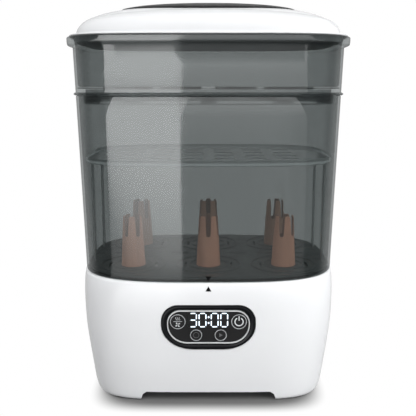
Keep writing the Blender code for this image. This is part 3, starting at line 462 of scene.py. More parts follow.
def rounded_outline(width, height, top, bottom, center=(0.0, 0.0), steps=10):
    """Rounded rectangle as (u, v) points, anticlockwise. A corner is one radius or a pair of them."""
    half_w, half_h = width / 2, height / 2
    top, bottom = (each if isinstance(each, tuple) else (each, each) for each in (top, bottom))
    corners = (
        (half_w - top[0], half_h - top[1], top, 0.0),
        (-half_w + top[0], half_h - top[1], top, 90.0),
        (-half_w + bottom[0], -half_h + bottom[1], bottom, 180.0),
        (half_w - bottom[0], -half_h + bottom[1], bottom, 270.0),
    )
    points = []
    for u, v, radius, start in corners:
        for step in range(steps + 1):
            angle = math.radians(start + 90.0 * step / steps)
            across, up = u + radius[0] * math.cos(angle), v + radius[1] * math.sin(angle)
            points.append((center[0] + across, center[1] + up))
    return points


def slots_along_z(name, slots, low, high):
    """Upright cutters with round ends, each (x, y, length, width); they lie along Y if length is negative."""
    cage = bmesh.new()
    for x, y, length, width in slots:
        size = (length, width) if length > 0 else (width, -length)
        outline = rounded_outline(*size, width * 0.499, width * 0.499, (x, y), 5)
        add_loft(cage, [[(u, v, z) for u, v in outline] for z in (low, high)])
    return finish_mesh(name, cage)


def front_prism(name, outline, y_front, y_back):
    """A flat shape facing -Y."""
    rings = [[(x, y, z) for x, z in outline] for y in (y_front, y_back)]
    return loft(name, rings)


def turned(name, profile, steps=64, center=(0.0, 0.0, 0.0)):
    """Solid of revolution about an upright axis. The profile is a closed loop of (radius, z)."""
    rings = []
    for i in range(steps):
        angle = 2 * math.pi * i / steps
        cos, sin = math.cos(angle), math.sin(angle)
        rings.append([(center[0] + r * cos, center[1] + r * sin, center[2] + z) for r, z in profile])
    return loft(name, rings, closed=True)


# Plans that follow the CAD


def stack_level(z, inset=0.0):
    """The tubs' common flank at a height."""
    foot_x, foot_y = 0.1321, 0.0950
    head_x, head_y = 0.1360, 0.0976
    foot_power, flare_power = 3.2, 1.17
    share = (z - BASE_TOP) / (STACK_TOP - BASE_TOP)
    flare = max(0.0, share) ** flare_power
    half_x = foot_x + (head_x - foot_x) * flare
    half_y = foot_y + (head_y - foot_y) * flare
    return (z, half_x - inset, half_y - inset, foot_power + share)


def base_power(z):
    """The housing is squarer in plan towards its foot."""
    squarer = 1.65
    return SHOULDER_POWER + squarer * (1.0 - z / SHOULDER)


def base_flank(inset=0.0):
    """The housing's side from its shoulder to its foot."""
    sides = (
        (SHOULDER, 0.1330, 0.0956),
        (0.1160, 0.1338, 0.0968),
        (0.1040, 0.1340, 0.0978),
        (0.0890, 0.1334, 0.0982),
        (0.0700, 0.1319, 0.0982),
        (0.0500, 0.1290, 0.0976),
        (0.0300, 0.1257, 0.0966),
        (0.0120, 0.1228, 0.0953),
        (0.0040, 0.1205, 0.0946),
    )
    return [(z, half_x - inset, half_y - inset, base_power(z)) for z, half_x, half_y in sides]


def flank_half_depth(z):
    """The housing's half depth at a height."""
    run = curve_through(base_flank(), 6)
    for upper, lower in zip(run, run[1:]):
        if lower[0] <= z <= upper[0]:
            share = (z - lower[0]) / max(upper[0] - lower[0], 1e-9)
            return lower[2] + (upper[2] - lower[2]) * share
    return run[-1][2]


# Base


def make_housing():
    shell, foot, mouth = 0.0028, 0.0012, (0.1240, 0.0894)
    outer = [
        (BASE_TOP, 0.1296, 0.0926, SHOULDER_POWER),
        (BASE_TOP - 0.0003, 0.1307, 0.0937, SHOULDER_POWER),
        (BASE_TOP - 0.0011, 0.1319, 0.0948, SHOULDER_POWER),
        *curve_through(base_flank(), 5),
        (0.0022, 0.1194, 0.0943, base_power(0.0022)),
        (foot, 0.1180, 0.0936, base_power(foot)),
    ]
    inner = [
        (foot, 0.1164, 0.0920, base_power(foot)),
        *reversed(curve_through(base_flank(shell), 2)[1:]),
        (SHOULDER, 0.1298, 0.0924, SHOULDER_POWER),
        (SHOULDER, *mouth, SHOULDER_POWER),
        (BASE_TOP, *mouth, SHOULDER_POWER),
    ]
    mesh = plan_loft("housing", outer + inner, closed=True)
    arch_height, arch_reach = 0.0100, 0.0690
    corner_x, corner_wide, corner_tall = 0.0682, 0.0052, 0.0038
    arch = [(-arch_reach, -0.01), (arch_reach, -0.01), (arch_reach, 0.0008)]
    for i in range(6):
        bend = math.sin(math.radians(15.0 * (i + 1)))
        arch.append((corner_x - corner_wide * bend, arch_height - corner_tall + corner_tall * bend))
    arch += [(-x, z) for x, z in reversed(arch[2:])]
    mesh = without(mesh, front_prism("arch", arch, -0.13, 0.13))
    panel = panel_outline(BEZEL_LOW, BEZEL_HIGH, PANEL_CORNERS, GAP)
    mesh = without(mesh, front_prism("panel_hole", panel, -0.12, -0.08))
    # Rear openings: the radius of a corner, the steps round it, and where the cut starts
    for name, corner, steps, start in (("filter_cover", 0.0052, 6, 0.085), ("power_inlet", 0.0006, 2, 0.070)):
        low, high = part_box(name)
        x, _, z = middle_of(name)
        width, height = high.x - low.x + PLAY, high.z - low.z + PLAY
        hole = rounded_outline(width, height, corner, corner, (x, z), steps)
        mesh = without(mesh, front_prism("rear_hole", hole, start, 0.12))
    piece = add_piece("housing_shell", mesh, WHITE, "base")
    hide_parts("base_housing")


# See-through tubs


def make_container():
    foot, top = TUB_LOW.z, TUB_HIGH.z
    flange_top, flange_wide = foot + 0.0023, 0.0080
    heights = [top - 0.0010 - (top - foot - 0.0030) * i / 10 for i in range(11)]
    outer = [
        stack_level(top, 0.0008),
        stack_level(top - 0.0002, 0.0002),
        *(stack_level(z) for z in heights),
        stack_level(foot + 0.0006, 0.0002),
        stack_level(foot, 0.0009),
        stack_level(foot, flange_wide),
        stack_level(flange_top, flange_wide),
        stack_level(flange_top, WALL),
    ]
    inner = [stack_level(z, WALL) for z in reversed(heights[:-1])]
    inner.append(stack_level(top - 0.0003, WALL - 0.0002))
    inner.append(stack_level(top, WALL - 0.0008))
    mesh = plan_loft("container", outer + inner, closed=True)
    piece = add_piece("container_shell", mesh, SMOKE, "container")
    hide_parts("bottle_container")


def make_tray_cores(floor_under, bead_low, bead_high, power):
    """Deeper tint inside the tray's floor and bead, which are seen along their length."""
    foot, head = bead_low + 0.0007, bead_high - 0.0007
    section = ((head, 0.0012), (head, -0.0012), (foot, -0.0013), (foot, 0.0012))
    mesh = plan_loft("bead_core", [stack_level(z, inset) for z, inset in section], closed=True)
    add_piece("tray_bead_core", mesh, SMOKE_DEEP, "upper_tray")
    rim = stack_level(floor_under, WALL - 0.0006)
    plate = [
        (floor_under + 0.0019, rim[1] - 0.0008, rim[2] - 0.0008, power),
        (floor_under + 0.0015, *rim[1:]),
        (floor_under + 0.0006, *rim[1:]),
    ]
    mesh = plan_loft("floor_core", plate)
    slots = [(x, y, length + 0.0012, width + 0.0012) for x, y, length, width in TRAY_SLOTS]
    mesh = without(mesh, slots_along_z("floor_slots", slots, floor_under - 0.002, floor_under + 0.005))
    add_piece("tray_floor_core", mesh, SMOKE_DEEP, "upper_tray")


def skirt_windows(skirt):
    windows = []
    for side in (-1, 1):
        for near, far in ((0.0072, 0.0610), (0.0805, 0.1040)):
            low_x, high_x = sorted((side * near, side * far))
            windows.append(((low_x, -0.12, skirt + 0.0011), (high_x, 0.12, skirt + 0.0047)))
    return windows


def make_upper_tray():
    skirt = UPPER_LOW.z
    floor_under = skirt + 0.0143
    floor_top = floor_under + 0.0025
    bead_low = TUB_HIGH.z + 0.0003
    bead_high = bead_low + 0.0026
    middle = 0.3350  # between bead and lip, so that the wall follows its flank
    lip_foot = STACK_TOP - 0.0083
    power = stack_level(floor_under)[3]
    lip_power = 4.4
    levels = [
        stack_level(floor_top, 0.0080),
        stack_level(floor_top, WALL + 0.0020),
        stack_level(floor_top + 0.0006, WALL + 0.0006),
        stack_level(floor_top + 0.0020, WALL),
        stack_level(middle, WALL),
        stack_level(lip_foot, WALL),
        stack_level(STACK_TOP - 0.0006, 0.0012),
        stack_level(STACK_TOP, 0.0004),
        (STACK_TOP, 0.1394, 0.0989, lip_power),
        (STACK_TOP - 0.0003, 0.1402, 0.0997, lip_power),
        (STACK_TOP - 0.0011, 0.1408, 0.1003, lip_power),
        (STACK_TOP - 0.0040, 0.1408, 0.1003, lip_power),
        (lip_foot + 0.0016, 0.1406, 0.1001, lip_power),
        (lip_foot + 0.0005, 0.1400, 0.0995, lip_power),
        (lip_foot, 0.1390, 0.0985, lip_power),
        stack_level(lip_foot, -0.0006),
        stack_level(lip_foot - 0.0010, 0.0),
        stack_level(middle),
        stack_level(bead_high + 0.0003),
        stack_level(bead_high, -0.0008),
        stack_level(bead_high - 0.0006, -0.0017),
        stack_level(bead_low + 0.0013, -0.0020),
        stack_level(bead_low + 0.0005, -0.0017),
        stack_level(bead_low, -0.0008),
        (bead_low, 0.1280, 0.0900, power),
        (skirt + 0.0003, 0.1274, 0.0894, power),
        (skirt, 0.1269, 0.0889, power),
        (skirt, 0.1257, 0.0877, power),
        (skirt + 0.0004, 0.1254, 0.0874, power),
        (floor_under, 0.1258, 0.0878, power),
    ]
    make_tray_cores(floor_under, bead_low, bead_high, power)
    mesh = plan_loft("upper_tray", levels)
    mesh = without(mesh, boxes("skirt_windows", skirt_windows(skirt)))
    mesh = without(mesh, slots_along_z("floor_slots", TRAY_SLOTS, floor_under - 0.002, floor_under + 0.005))
    piece = add_piece("upper_tray_shell", mesh, SMOKE, "upper_tray")
    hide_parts("accessory_tray")


# Inside the container


def make_bottle_floor():
    top, under = FLOOR_HIGH.z, FLOOR_HIGH.z - 0.0024
    rim = stack_level(top, WALL + 0.0006)
    skirt, outer, inner = FLOOR_LOW.z, (0.1150, 0.0806), (0.1130, 0.0786)
    levels = [
        (top, rim[1] - 0.0030, rim[2] - 0.0030, rim[3]),
        (top - 0.0001, rim[1] - 0.0006, rim[2] - 0.0006, rim[3]),
        (top - 0.0007, *rim[1:]),
        (under, *rim[1:]),
        (under, *outer, rim[3]),
        (skirt, *outer, rim[3]),
        (skirt, *inner, rim[3]),
        (under, *inner, rim[3]),
    ]
    mesh = plan_loft("bottle_floor", levels)
    centers = [middle_of(name)[:2] for name in POSTS]
    beside, between = 0.0240, 0.032
    slots = [(x + side * beside, y, -0.018, 0.003) for x, y in centers for side in (-1, 1)]
    slots += [(between * (i - 3), 0.0, 0.020, 0.004) for i in range(7)]
    mesh = without(mesh, slots_along_z("drain_slots", slots, under - 0.004, top + 0.004))
    piece = add_piece("bottle_floor", mesh, DARK, "container")
    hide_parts("bottle_tray")
    half_wide, tall, sunk = 0.0009, 0.0010, 0.0002
    turns = [math.pi * i / 6 for i in range(7)]
    for name, (x, y) in zip(POSTS, centers):
        for radius in (0.0200, 0.0335):
            profile = [(radius + half_wide * math.cos(turn), tall * math.sin(turn)) for turn in turns]
            profile += [(radius - half_wide, -sunk), (radius + half_wide, -sunk)]
            mesh = turned("seat_ring", profile, 64, (x, y, top))
            label = f"seat_ring_{name.removeprefix('bottle_post_')}_{round(radius * 1e4)}"
            add_piece(label, mesh, DARK, "container")


def make_posts():
    turn_of_column = {"left": 38.0, "middle": 0.0, "right": -20.0}  # degrees
    low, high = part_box(POSTS[0])
    height = high.z - low.z
    foot, head, wall = 0.0127, 0.0095, 0.0018
    profile = [
        (foot, 0.0),
        (foot - 0.0003, 0.0030),
        (head + 0.0003, height - 0.0020),
        (head - 0.0001, height - 0.0006),
        (head - 0.0006, height),
        (head - wall + 0.0004, height),
        (head - wall, height - 0.0006),
        (foot - wall, 0.0),
    ]
    slit, depth, flare = 0.0046, 0.0215, 1.44
    outline = []
    for i in range(13):
        angle = math.radians(180.0 + 15.0 * i)
        outline.append((slit / 2 * math.cos(angle), height - depth + slit / 2 + slit / 2 * math.sin(angle)))
    outline += [(slit / 2 * flare, height + 0.005), (-slit / 2 * flare, height + 0.005)]
    shape = turned("post", profile, 70)
    for prong in range(5):
        cutter = front_prism("slit", outline, -0.020, -0.0052)
        cutter.transform(Matrix.Rotation(2 * math.pi * prong / 5, 4, "Z"))
        shape = without(shape, cutter)
    for name in POSTS:
        x, y, _ = middle_of(name)
        mesh = shape.copy()
        mesh.transform(Matrix.Rotation(math.radians(turn_of_column[name.rsplit("_", 1)[1]]), 4, "Z"))
        mesh.transform(Matrix.Translation((x, y, low.z)))
        piece = add_piece(name + "_moulded", mesh, CORAL, "container", 40.0)
        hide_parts(name)


def make_rack():
    bottom, top = RACK_HIGH.z - 0.0060, RACK_HIGH.z
    plate = bottom + 0.0033
    power = stack_level(bottom)[3]
    levels = [
        (plate, 0.1180, 0.0817),
        (plate, 0.1260, 0.0888),
        (plate + 0.0008, 0.1267, 0.0895),
        (top - 0.0004, 0.1272, 0.0900),
        (top, 0.1276, 0.0904),
        (top, 0.1286, 0.0914),
        (top - 0.0004, 0.1290, 0.0918),
        (bottom, 0.1282, 0.0910),
        (bottom, 0.1267, 0.0895),
        (plate - 0.0016, 0.1261, 0.0889),
    ]
    mesh = plan_loft("rack", [(z, hx, hy, power) for z, hx, hy in levels])
    slots, pitch = [], 0.033
    for row_y, reach in ((0.074, 2), (0.045, 3), (0.015, 3)):
        for side in (-1, 1):
            for i in range(-reach, reach):
                slots.append((pitch * (i + 0.5), side * row_y, 0.023, 0.010))
    mesh = without(mesh, slots_along_z("rack_slots", slots, bottom - 0.005, top + 0.005))
    piece = add_piece("rack_shelf", mesh, CLEAR, "rack")
    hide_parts("nipple_rack")
    # A thin bead round the rack's rim, which glows as a painted highlight line.
    foot, head = bottom + 0.0010, bottom + 0.0032
    edge = [
        (head, 0.1279, 0.0907, power),
        (head, 0.1284, 0.0912, power),
        (foot, 0.1281, 0.0909, power),
        (foot, 0.1276, 0.0904, power),
    ]
    add_piece("rack_highlight_bead", plan_loft("rack_highlight_bead", edge, closed=True), RACK_HIGHLIGHT, "rack")
    leg_x, leg_y = 0.1220, 0.030
    for number, (side, end) in enumerate(((-1, -1), (-1, 1), (1, -1), (1, 1)), 1):
        outline = rounded_outline(0.0020, 0.0090, 0.0009, 0.0009, (side * leg_x, end * leg_y), 4)
        rings = [[(u, v, z) for u, v in outline] for z in (RACK_LOW.z, plate - 0.0018)]
        add_piece(f"rack_leg_{number}", loft("leg", rings), CLEAR, "rack")


# Lid


def lid_power(z):
    """The lid is squarer in plan towards its flange."""
    crown_power, squarer, band = 2.4, 2.0, 0.025
    share = max(0.0, min(1.0, (LID_HIGH.z - z) / band))
    return crown_power + squarer * share**0.8


def drape(mesh):
    """The crown and its cap fall away a little towards the front and the back."""
    start, full = LID_HIGH.z - 0.0140, 0.0100
    drop, reach = 0.0022, 0.0560
    for vert in mesh.vertices:
        share = max(0.0, min(1.0, (vert.co.z - start) / full))
        vert.co.z -= drop * min(1.0, abs(vert.co.y) / reach) ** 4 * share


def make_lid():
    seat = STACK_TOP + 0.0003
    crown = LID_HIGH.z
    dome = [
        (crown, 0.0900, 0.0540),
        (crown - 0.0022, 0.1000, 0.0630),
        (crown - 0.0045, 0.1080, 0.0700),
        (crown - 0.0070, 0.1142, 0.0758),
        (crown - 0.0095, 0.1192, 0.0805),
        (crown - 0.0135, 0.1252, 0.0861),
        (crown - 0.0180, 0.1290, 0.0897),
        (crown - 0.0220, 0.1310, 0.0916),
        (crown - 0.0260, 0.1318, 0.0924),
    ]
    flange = [
        (seat + 0.0022, 0.1324, 0.0930),
        (seat + 0.0017, 0.1334, 0.0940),
        (seat + 0.0015, 0.1378, 0.0978),
        (seat + 0.0010, 0.1384, 0.0984),
        (seat + 0.0004, 0.1384, 0.0984),
        (seat, 0.1380, 0.0980),
        (seat, 0.1332, 0.0938),
        (seat - 0.0054, 0.1328, 0.0934),
        (seat - 0.0056, 0.1325, 0.0931),
        (seat - 0.0056, 0.1313, 0.0919),
        (seat - 0.0053, 0.1310, 0.0916),
    ]
    inside = [
        (crown - 0.0270, 0.1298, 0.0904),
        (crown - 0.0220, 0.1288, 0.0894),
        (crown - 0.0180, 0.1264, 0.0871),
        (crown - 0.0135, 0.1222, 0.0831),
        (crown - 0.0095, 0.1158, 0.0771),
        (crown - 0.0070, 0.1100, 0.0716),
        (crown - 0.0024, 0.0960, 0.0590),
    ]
    levels = curve_through(dome, 4) + flange + curve_through(inside, 3)
    mesh = plan_loft("lid", [(z, hx, hy, lid_power(z)) for z, hx, hy in levels])
    drape(mesh)
    mesh = without(mesh, slots_along_z("lid_vent", [(0.0, 0.0, 0.066, 0.022)], crown - 0.01, crown + 0.02))
    piece = add_piece("lid_shell", mesh, LID_WHITE_SHADED, "lid")
    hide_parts("lid_dome")

    rise = [
        (CAP_HIGH.z, 0.0060, 0.0030),
        (CAP_HIGH.z - 0.0004, 0.0240, 0.0130),
        (CAP_HIGH.z - 0.0014, 0.0430, 0.0245),
        (CAP_HIGH.z - 0.0026, 0.0600, 0.0345),
        (CAP_HIGH.z - 0.0040, 0.0740, 0.0435),
        (CAP_HIGH.z - 0.0056, 0.0850, 0.0500),
        (CAP_HIGH.z - 0.0068, 0.0903, 0.0533),
    ]
    levels = curve_through(rise, 4) + [(CAP_LOW.z + 0.0002, 0.0910, 0.0540), (CAP_LOW.z, 0.0908, 0.0538)]
    power = 2.3
    mesh = plan_loft("cap", [(z, hx, hy, power) for z, hx, hy in levels])
    drape(mesh)
    pitch, row_y = 0.009, 0.0045
    slots = [(pitch * (i - 3), y, 0.006, 0.0026) for i in range(7) for y in (-row_y, row_y)]
    mesh = without(mesh, slots_along_z("cap_vents", slots, 0.39, 0.41))
    piece = add_piece("lid_cap_shell", mesh, CAP_BLACK, "lid")
    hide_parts("lid_cap")


# Control panel


def panel_outline(low, high, corners, grow=0.0):
    """An outline of the panel that fills a box, grown on all sides."""
    top, bottom = ((half_w + grow, half_h + grow) for half_w, half_h in corners)
    width, height = high.x - low.x + 2 * grow, high.z - low.z + 2 * grow
    return rounded_outline(width, height, top, bottom, (0.0, (low.z + high.z) / 2))


def make_bezel():
    """A rounded frame, a little proud of the housing, which rolls down to the trim inside it."""
    rim = panel_outline(BEZEL_LOW, BEZEL_HIGH, PANEL_CORNERS)
    mouth = panel_outline(TRIM_LOW, TRIM_HIGH, TRIM_CORNERS, GAP)
    front, back = BEZEL_LOW.y, BEZEL_LOW.y + 0.0070
    profile = [
        (0.0, back),
        (0.0, front + 0.0018),
        (0.05, front + 0.0009),
        (0.17, front + 0.0003),
        (0.37, front),
        (0.60, front + 0.0002),
        (0.83, front + 0.0007),
        (0.95, front + 0.0011),
        (1.0, front + 0.0018),
        (1.0, back),
    ]
    rings = [
        [(x + (u - x) * share, y, z + (v - z) * share) for (x, z), (u, v) in zip(rim, mouth)]
        for share, y in profile
    ]
    mesh = loft("bezel", rings, closed=True)
    piece = add_piece("bezel_frame", mesh, BLACK_GLOSS, "base", 50.0)
    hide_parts("panel_bezel")


def make_trim():
    """The bright line round the dark face."""
    outer = ((0.0, 0.0020), (0.0, 0.0002), (-0.0002, 0.0))
    inner = ((-0.0008, 0.0), (-0.0010, 0.0002), (-0.0010, 0.0020))
    rings = []
    for grow, depth in outer + inner:
        outline = panel_outline(TRIM_LOW, TRIM_HIGH, TRIM_CORNERS, grow)
        rings.append([(x, TRIM_LOW.y + depth, z) for x, z in outline])
    piece = add_piece("trim_line", loft("trim", rings, closed=True), TRIM, "base", 50.0)
    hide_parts("panel_trim")


def bar_outline(start, end, width, cut=0.5):
    """A segment bar with pointed or blunt ends, as (x, z) points."""
    a, b = Vector(start), Vector(end)
    along = (b - a).normalized()
    side = Vector((-along.y, along.x)) * width / 2
    tip = along * width * cut
    return [a, a + tip - side, b - tip - side, b, b - tip + side, a + tip + side]


def make_display():
    """Four lit digits and a colon."""
    center_x, _, center_z = middle_of("display_module")
    digit_w, digit_h, stroke, gap = 0.0067, 0.0139, 0.0011, 0.0008
    patterns = {"3": "abcdg", "0": "abcdef"}
    places = ((-0.0152, "3"), (-0.0058, "0"), (0.0062, "0"), (0.0156, "0"))
    left, right = -digit_w / 2, digit_w / 2
    bars = {
        "a": ((left, digit_h / 2), (right, digit_h / 2)),
        "b": ((right, digit_h / 2), (right, 0.0)),
        "c": ((right, 0.0), (right, -digit_h / 2)),
        "d": ((left, -digit_h / 2), (right, -digit_h / 2)),
        "e": ((left, 0.0), (left, -digit_h / 2)),
        "f": ((left, digit_h / 2), (left, 0.0)),
        "g": ((left, 0.0), (right, 0.0)),
    }
    front, back = SCREEN_FRONT - GLOW_LIFT, SCREEN_FRONT - GLOW_BACK
    for place, (offset, digit) in enumerate(places):
        for bar in patterns[digit]:
            start, end = (Vector(point) for point in bars[bar])
            along = (end - start).normalized() * gap
            middle = Vector((center_x + offset, center_z))
            outline = bar_outline(start + along + middle, end - along + middle, stroke)
            mesh = front_prism("bar", outline, front, back)
            add_piece(f"digit_{place}_{bar}", mesh, LIT, "base")
    for number, dz in enumerate((-0.0030, 0.0030)):
        outline = rounded_outline(0.0016, 0.0018, 0.0005, 0.0005, (center_x + 0.0002, center_z + dz), 3)
        mesh = front_prism("dot", outline, front, back)
        add_piece(f"colon_{number}", mesh, LIT, "base")


def button_face(name):
    """A button's middle as (x, z), and where the front of a mark on it lies."""
    x, _, z = middle_of(name)
    return (x, z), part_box(name)[0].y - INK_LIFT


def flat_mark(button, name, outline, material):
    """A flat shape printed on a button. The outline is (x, z) points from the button's middle."""
    center, front = button_face(button)
    points = [(center[0] + x, center[1] + z) for x, z in outline]
    mesh = front_prism(name, points, front, front + INK)
    add_piece(name, mesh, material, BODY_OF_BUTTON[button])


def ring_mark(button, name, radius, width, material, start=0.0, sweep=360.0):
    """A flat ring or arc, in degrees, printed on a button."""
    center, front = button_face(button)
    whole = sweep >= 360.0
    steps = max(8, round(sweep / 7.5))
    rings = []
    for i in range(steps if whole else steps + 1):
        angle = math.radians(start + sweep * i / steps)
        cos, sin = math.cos(angle), math.sin(angle)
        section = ((radius, front), (radius - width, front))
        section += ((radius - width, front + INK), (radius, front + INK))
        rings.append([(center[0] + reach * cos, y, center[1] + reach * sin) for reach, y in section])
    add_piece(name, loft(name, rings, closed=whole), material, BODY_OF_BUTTON[button])


def make_button_marks():
    for name in BODY_OF_BUTTON:
        low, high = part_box(name)
        ring_mark(name, name + "_ring", (high.x - low.x) / 2 - 0.0004, 0.00045, ICON)
    ring_mark("power_button", "power_icon_arc", 0.0046, 0.0011, ICON, 118.0, 304.0)
    bar = rounded_outline(0.0011, 0.0046, 0.0004, 0.0004, (0.0, 0.0034), 3)
    flat_mark("power_button", "power_icon_bar", bar, ICON)

    line = rounded_outline(0.0086, 0.0004, 0.00015, 0.00015, (0.0, 0.0002), 2)
    flat_mark("mode_button", "mode_icon_line", line, ICON)
    for number in range(3):
        points = []
        for i in range(9):
            sway = 0.00045 * math.sin(2 * math.pi * i / 8)
            points.append((-0.0017 + 0.0017 * number + sway, 0.0014 + 0.0032 * i / 8))
        wave = [(x - 0.0002, z) for x, z in points] + [(x + 0.0002, z) for x, z in reversed(points)]
        flat_mark("mode_button", f"mode_icon_steam_{number}", wave, ICON)
    blade = ((0.0003, 0.0), (0.0012, 0.0011), (0.0024, 0.0012), (0.0027, 0.0003), (0.0018, -0.0002))
    for number in range(4):
        turn = math.radians(90.0 * number + 20.0)
        cos, sin = math.cos(turn), math.sin(turn)
        outline = [(u * cos - v * sin, -0.0031 + u * sin + v * cos) for u, v in blade]
        flat_mark("mode_button", f"mode_icon_blade_{number}", outline, ICON)

    ring_mark("time_button", "time_icon_dial", 0.0030, 0.0004, FAINT_ICON)
    triangle = [(-0.0014, -0.0019), (0.0020, 0.0), (-0.0014, 0.0019)]
    flat_mark("start_button", "start_icon", triangle, FAINT_ICON)


def make_alignment_marks():
    """Two small arrows that meet when the container sits the right way round."""
    half, tall, lift = 0.0029, 0.0048, 0.00030
    foot = 0.1174
    front = -flank_half_depth(foot)
    tilt = flank_half_depth(foot) - flank_half_depth(foot + tall)
    arrow = [(-half, foot), (half, foot), (0.0, foot + tall)]
    rings = []
    for rise in (lift, -lift):
        rings.append([(x, front - rise + tilt * (z - foot) / tall, z) for x, z in arrow])
    add_piece("base_arrow", loft("arrow", rings), MARK, "base")
    foot = TUB_LOW.z + 0.0016
    arrow = [(half, foot + tall), (-half, foot + tall), (0.0, foot)]
    rings = [[(x, -stack_level(z)[2] - rise, z) for x, z in arrow] for rise in (lift, -lift)]
    add_piece("container_arrow", loft("arrow", rings), MARK, "container")


# Carried-over CAD nodes


def finish_nodes():
    """Gives each CAD node that still shows a finished material."""
    looks = {entry["node"]: entry["material_slot"] for entry in frame["record"]["subparts"]}
    for name, obj in frame["nodes"].items():
        obj.data.materials.clear()
        obj.data.materials.append(NODE_LOOKS[looks[name]])
    for name in ("panel_face", *BODY_OF_BUTTON, "display_module"):
        frame["nodes"][name].data.materials[0] = FACE_BLACK


# Studio


def studio_emission(name, low_z, high_z, low, high):
    """A card's light, which changes smoothly with height."""
    material = new_material(name)
    height = add_node(material, "ShaderNodeSeparateXYZ", {0: object_point(material)}).outputs["Z"]
    strength = spread(material, height, low, high, low_z, high_z, interpolation_type="SMOOTHSTEP")
    glow = add_node(material, "ShaderNodeEmission", {"Color": PURE_WHITE, "Strength": strength})
    return set_surface(material, glow)


def reflector(name, outline, y, material):
    """A flat card in front of or behind the object, seen only in its gloss. The outline is (x, z) points."""
    mesh = bpy.data.meshes.new(name)
    mesh.from_pydata([(x, y, z) for x, z in outline], [], [tuple(range(len(outline)))])
    mesh.materials.append(material)
    card = linked(name, mesh)
    card.visible_camera = False
    card.visible_diffuse = False
    card.visible_transmission = False
    card.visible_shadow = False


def area_light(name, place, target, size, energy):
    """Soft light for the surfaces' own colour. The cards give the gloss."""
    data = bpy.data.lights.new(name, "AREA")
    data.shape = "RECTANGLE"
    data.size, data.size_y = size
    data.energy = energy
    light = linked(name, data)
    light.location = place
    aim = Vector(target) - Vector(place)
    light.rotation_euler = aim.to_track_quat("-Z", "Y").to_euler()
    light.visible_camera = False
    light.visible_glossy = False


def make_camera():
    data = bpy.data.cameras.new("camera")
    data.lens = CAMERA_LENS
    data.sensor_width = 36.0
    data.clip_end = 30.0
    camera = linked("camera", data)
    camera.location = CAMERA_PLACE
    camera.rotation_euler = (math.radians(90.0 - CAMERA_PITCH), 0.0, 0.0)
    bpy.context.scene.camera = camera


def make_world():
    """White behind the object, even fill for its colour, and dim surroundings in its gloss."""
    world = bpy.data.worlds.new("studio")
    bpy.context.scene.world = world
    world.use_nodes = True
    world.node_tree.nodes.clear()

    def background(strength):
        return add_node(world, "ShaderNodeBackground", {"Color": PURE_WHITE, "Strength": strength})

    place = add_node(world, "ShaderNodeTexCoord")
    heading = add_node(world, "ShaderNodeSeparateXYZ", {0: place.outputs["Generated"]}).outputs["Y"]
    behind = spread(world, heading, 0.0, 1.0, 0.05, 0.55, interpolation_type="SMOOTHSTEP")
    gloss = mixed(world, behind, background(GLOSS_FILL), background(BACKDROP_GLOSS))
    paths = add_node(world, "ShaderNodeLightPath")
    seen = mixed(world, paths.outputs["Is Glossy Ray"], background(FILL), gloss)
    seen = mixed(world, paths.outputs["Is Camera Ray"], seen, background(1.0))
    add_node(world, "ShaderNodeOutputWorld", {"Surface": seen.outputs[0]})


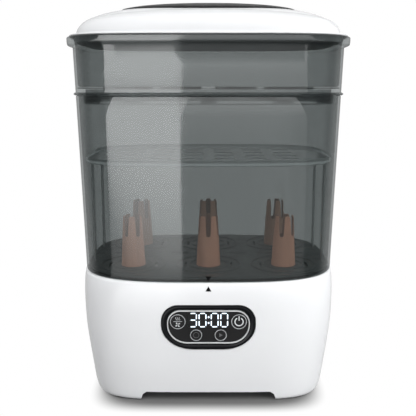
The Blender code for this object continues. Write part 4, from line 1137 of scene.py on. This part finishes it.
def make_floor():
    """Matt floor close round the object, painted dark round the base's footprint as a contact shadow, and
    blending into plain white within a few centimetres.
    """
    material = new_material("floor_painted_shadow")
    shadow = (HOUSING_HIGH.x * 0.73, HOUSING_HIGH.y * 0.96, 1.0)
    squareness = 6.0
    source = {0: object_point(material), 1: shadow}
    reach = add_node(material, "ShaderNodeVectorMath", source, operation="DIVIDE").outputs["Vector"]
    sides = add_node(material, "ShaderNodeSeparateXYZ", {0: reach})
    across, along = (
        calculate(material, "POWER", calculate(material, "ABSOLUTE", sides.outputs[axis]), squareness)
        for axis in "XY"
    )
    distance = calculate(material, "POWER", calculate(material, "ADD", across, along), 1.0 / squareness)
    outward = spread(material, distance, 0.0, 1.0, 1.03, 1.29, interpolation_type="SMOOTHSTEP")
    # Painted shadow: the floor near the base is painted dark, and fades to white emission outward.
    paper = add_node(material, "ShaderNodeBsdfDiffuse", {"Color": (0.15, 0.15, 0.15, 1.0), "Roughness": 0.5})
    direct = add_node(material, "ShaderNodeLightPath").outputs["Is Camera Ray"]
    strength = spread(material, direct, 0.25, 1.0, 0.0, 1.0)
    white = add_node(material, "ShaderNodeEmission", {"Color": PURE_WHITE, "Strength": strength})
    set_surface(material, mixed(material, outward, paper, white))
    cage = bmesh.new()
    bmesh.ops.create_grid(cage, x_segments=2, y_segments=2, size=12.0)
    mesh = bpy.data.meshes.new("floor")
    cage.to_mesh(mesh)
    cage.free()
    mesh.materials.append(material)
    floor = linked("floor", mesh)
    floor.location.z = -0.0002
    floor.visible_glossy = False


def make_cards():
    """Soft boxes as the gloss shows them: one broad in front with a brighter left part, one behind."""
    top, low = 0.70, -2.60
    sides = ((-1.47, 0.30, 0.973), (1.19, 0.31, -1.14))  # x and z of a point on each side, and its lean
    left_top, right_top = (x + lean * (top - z) for x, z, lean in sides)
    left_low, right_low = (x + lean * (low - z) for x, z, lean in sides)
    edge, sag = -0.80, 0.10

    def sagging(end, steps):
        """The lower edge, which sags away from the middle."""
        run = [left_low + (end - left_low) * i / steps for i in range(steps + 1)]
        return [(x, edge - sag * x * x) for x in run]

    broad = [(right_top, top), (left_top, top), *sagging(right_low, 24)]
    reflector("front_card", broad, CARD_Y, studio_emission("front_glow", 0.0, 0.50, 0.38, 1.6))
    step_top, step_low = -0.07, -0.17
    bright = [(step_top, top), (left_top, top), *sagging(step_low, 16)]
    reflector("left_card", bright, CARD_Y + CARD_STEP, studio_emission("left_glow", -0.55, 0.12, 0.9, 3.6))
    back = rounded_outline(0.76, 0.44, 0.02, 0.02, (0.0, 0.22))
    reflector("back_card", back, -CARD_Y, studio_emission("back_glow", 0.0, 0.4, 0.8, 1.6))


def make_studio():
    bpy.context.scene.view_settings.view_transform = "Standard"
    make_camera()
    make_world()
    make_floor()
    make_cards()
    area_light("key", (1.50, -0.80, 0.50), (0.0, 0.0, 0.12), (1.0, 1.0), 14.0)
    area_light("left_fill", (-1.20, -1.50, 0.90), (0.0, 0.0, 0.12), (1.0, 1.0), 4.0)
    area_light("front", (0.25, -1.00, 1.45), (0.0, -0.10, 0.08), (1.0, 1.0), 15.0)
    area_light("top", (0.0, 0.0, 2.60), (0.0, 0.0, 0.0), (2.0, 2.0), 10.0)


def main():
    make_studio()
    make_housing()
    make_container()
    make_upper_tray()
    make_bottle_floor()
    make_posts()
    make_rack()
    make_lid()
    make_bezel()
    make_trim()
    make_display()
    make_button_marks()
    make_alignment_marks()
    finish_nodes()


main()
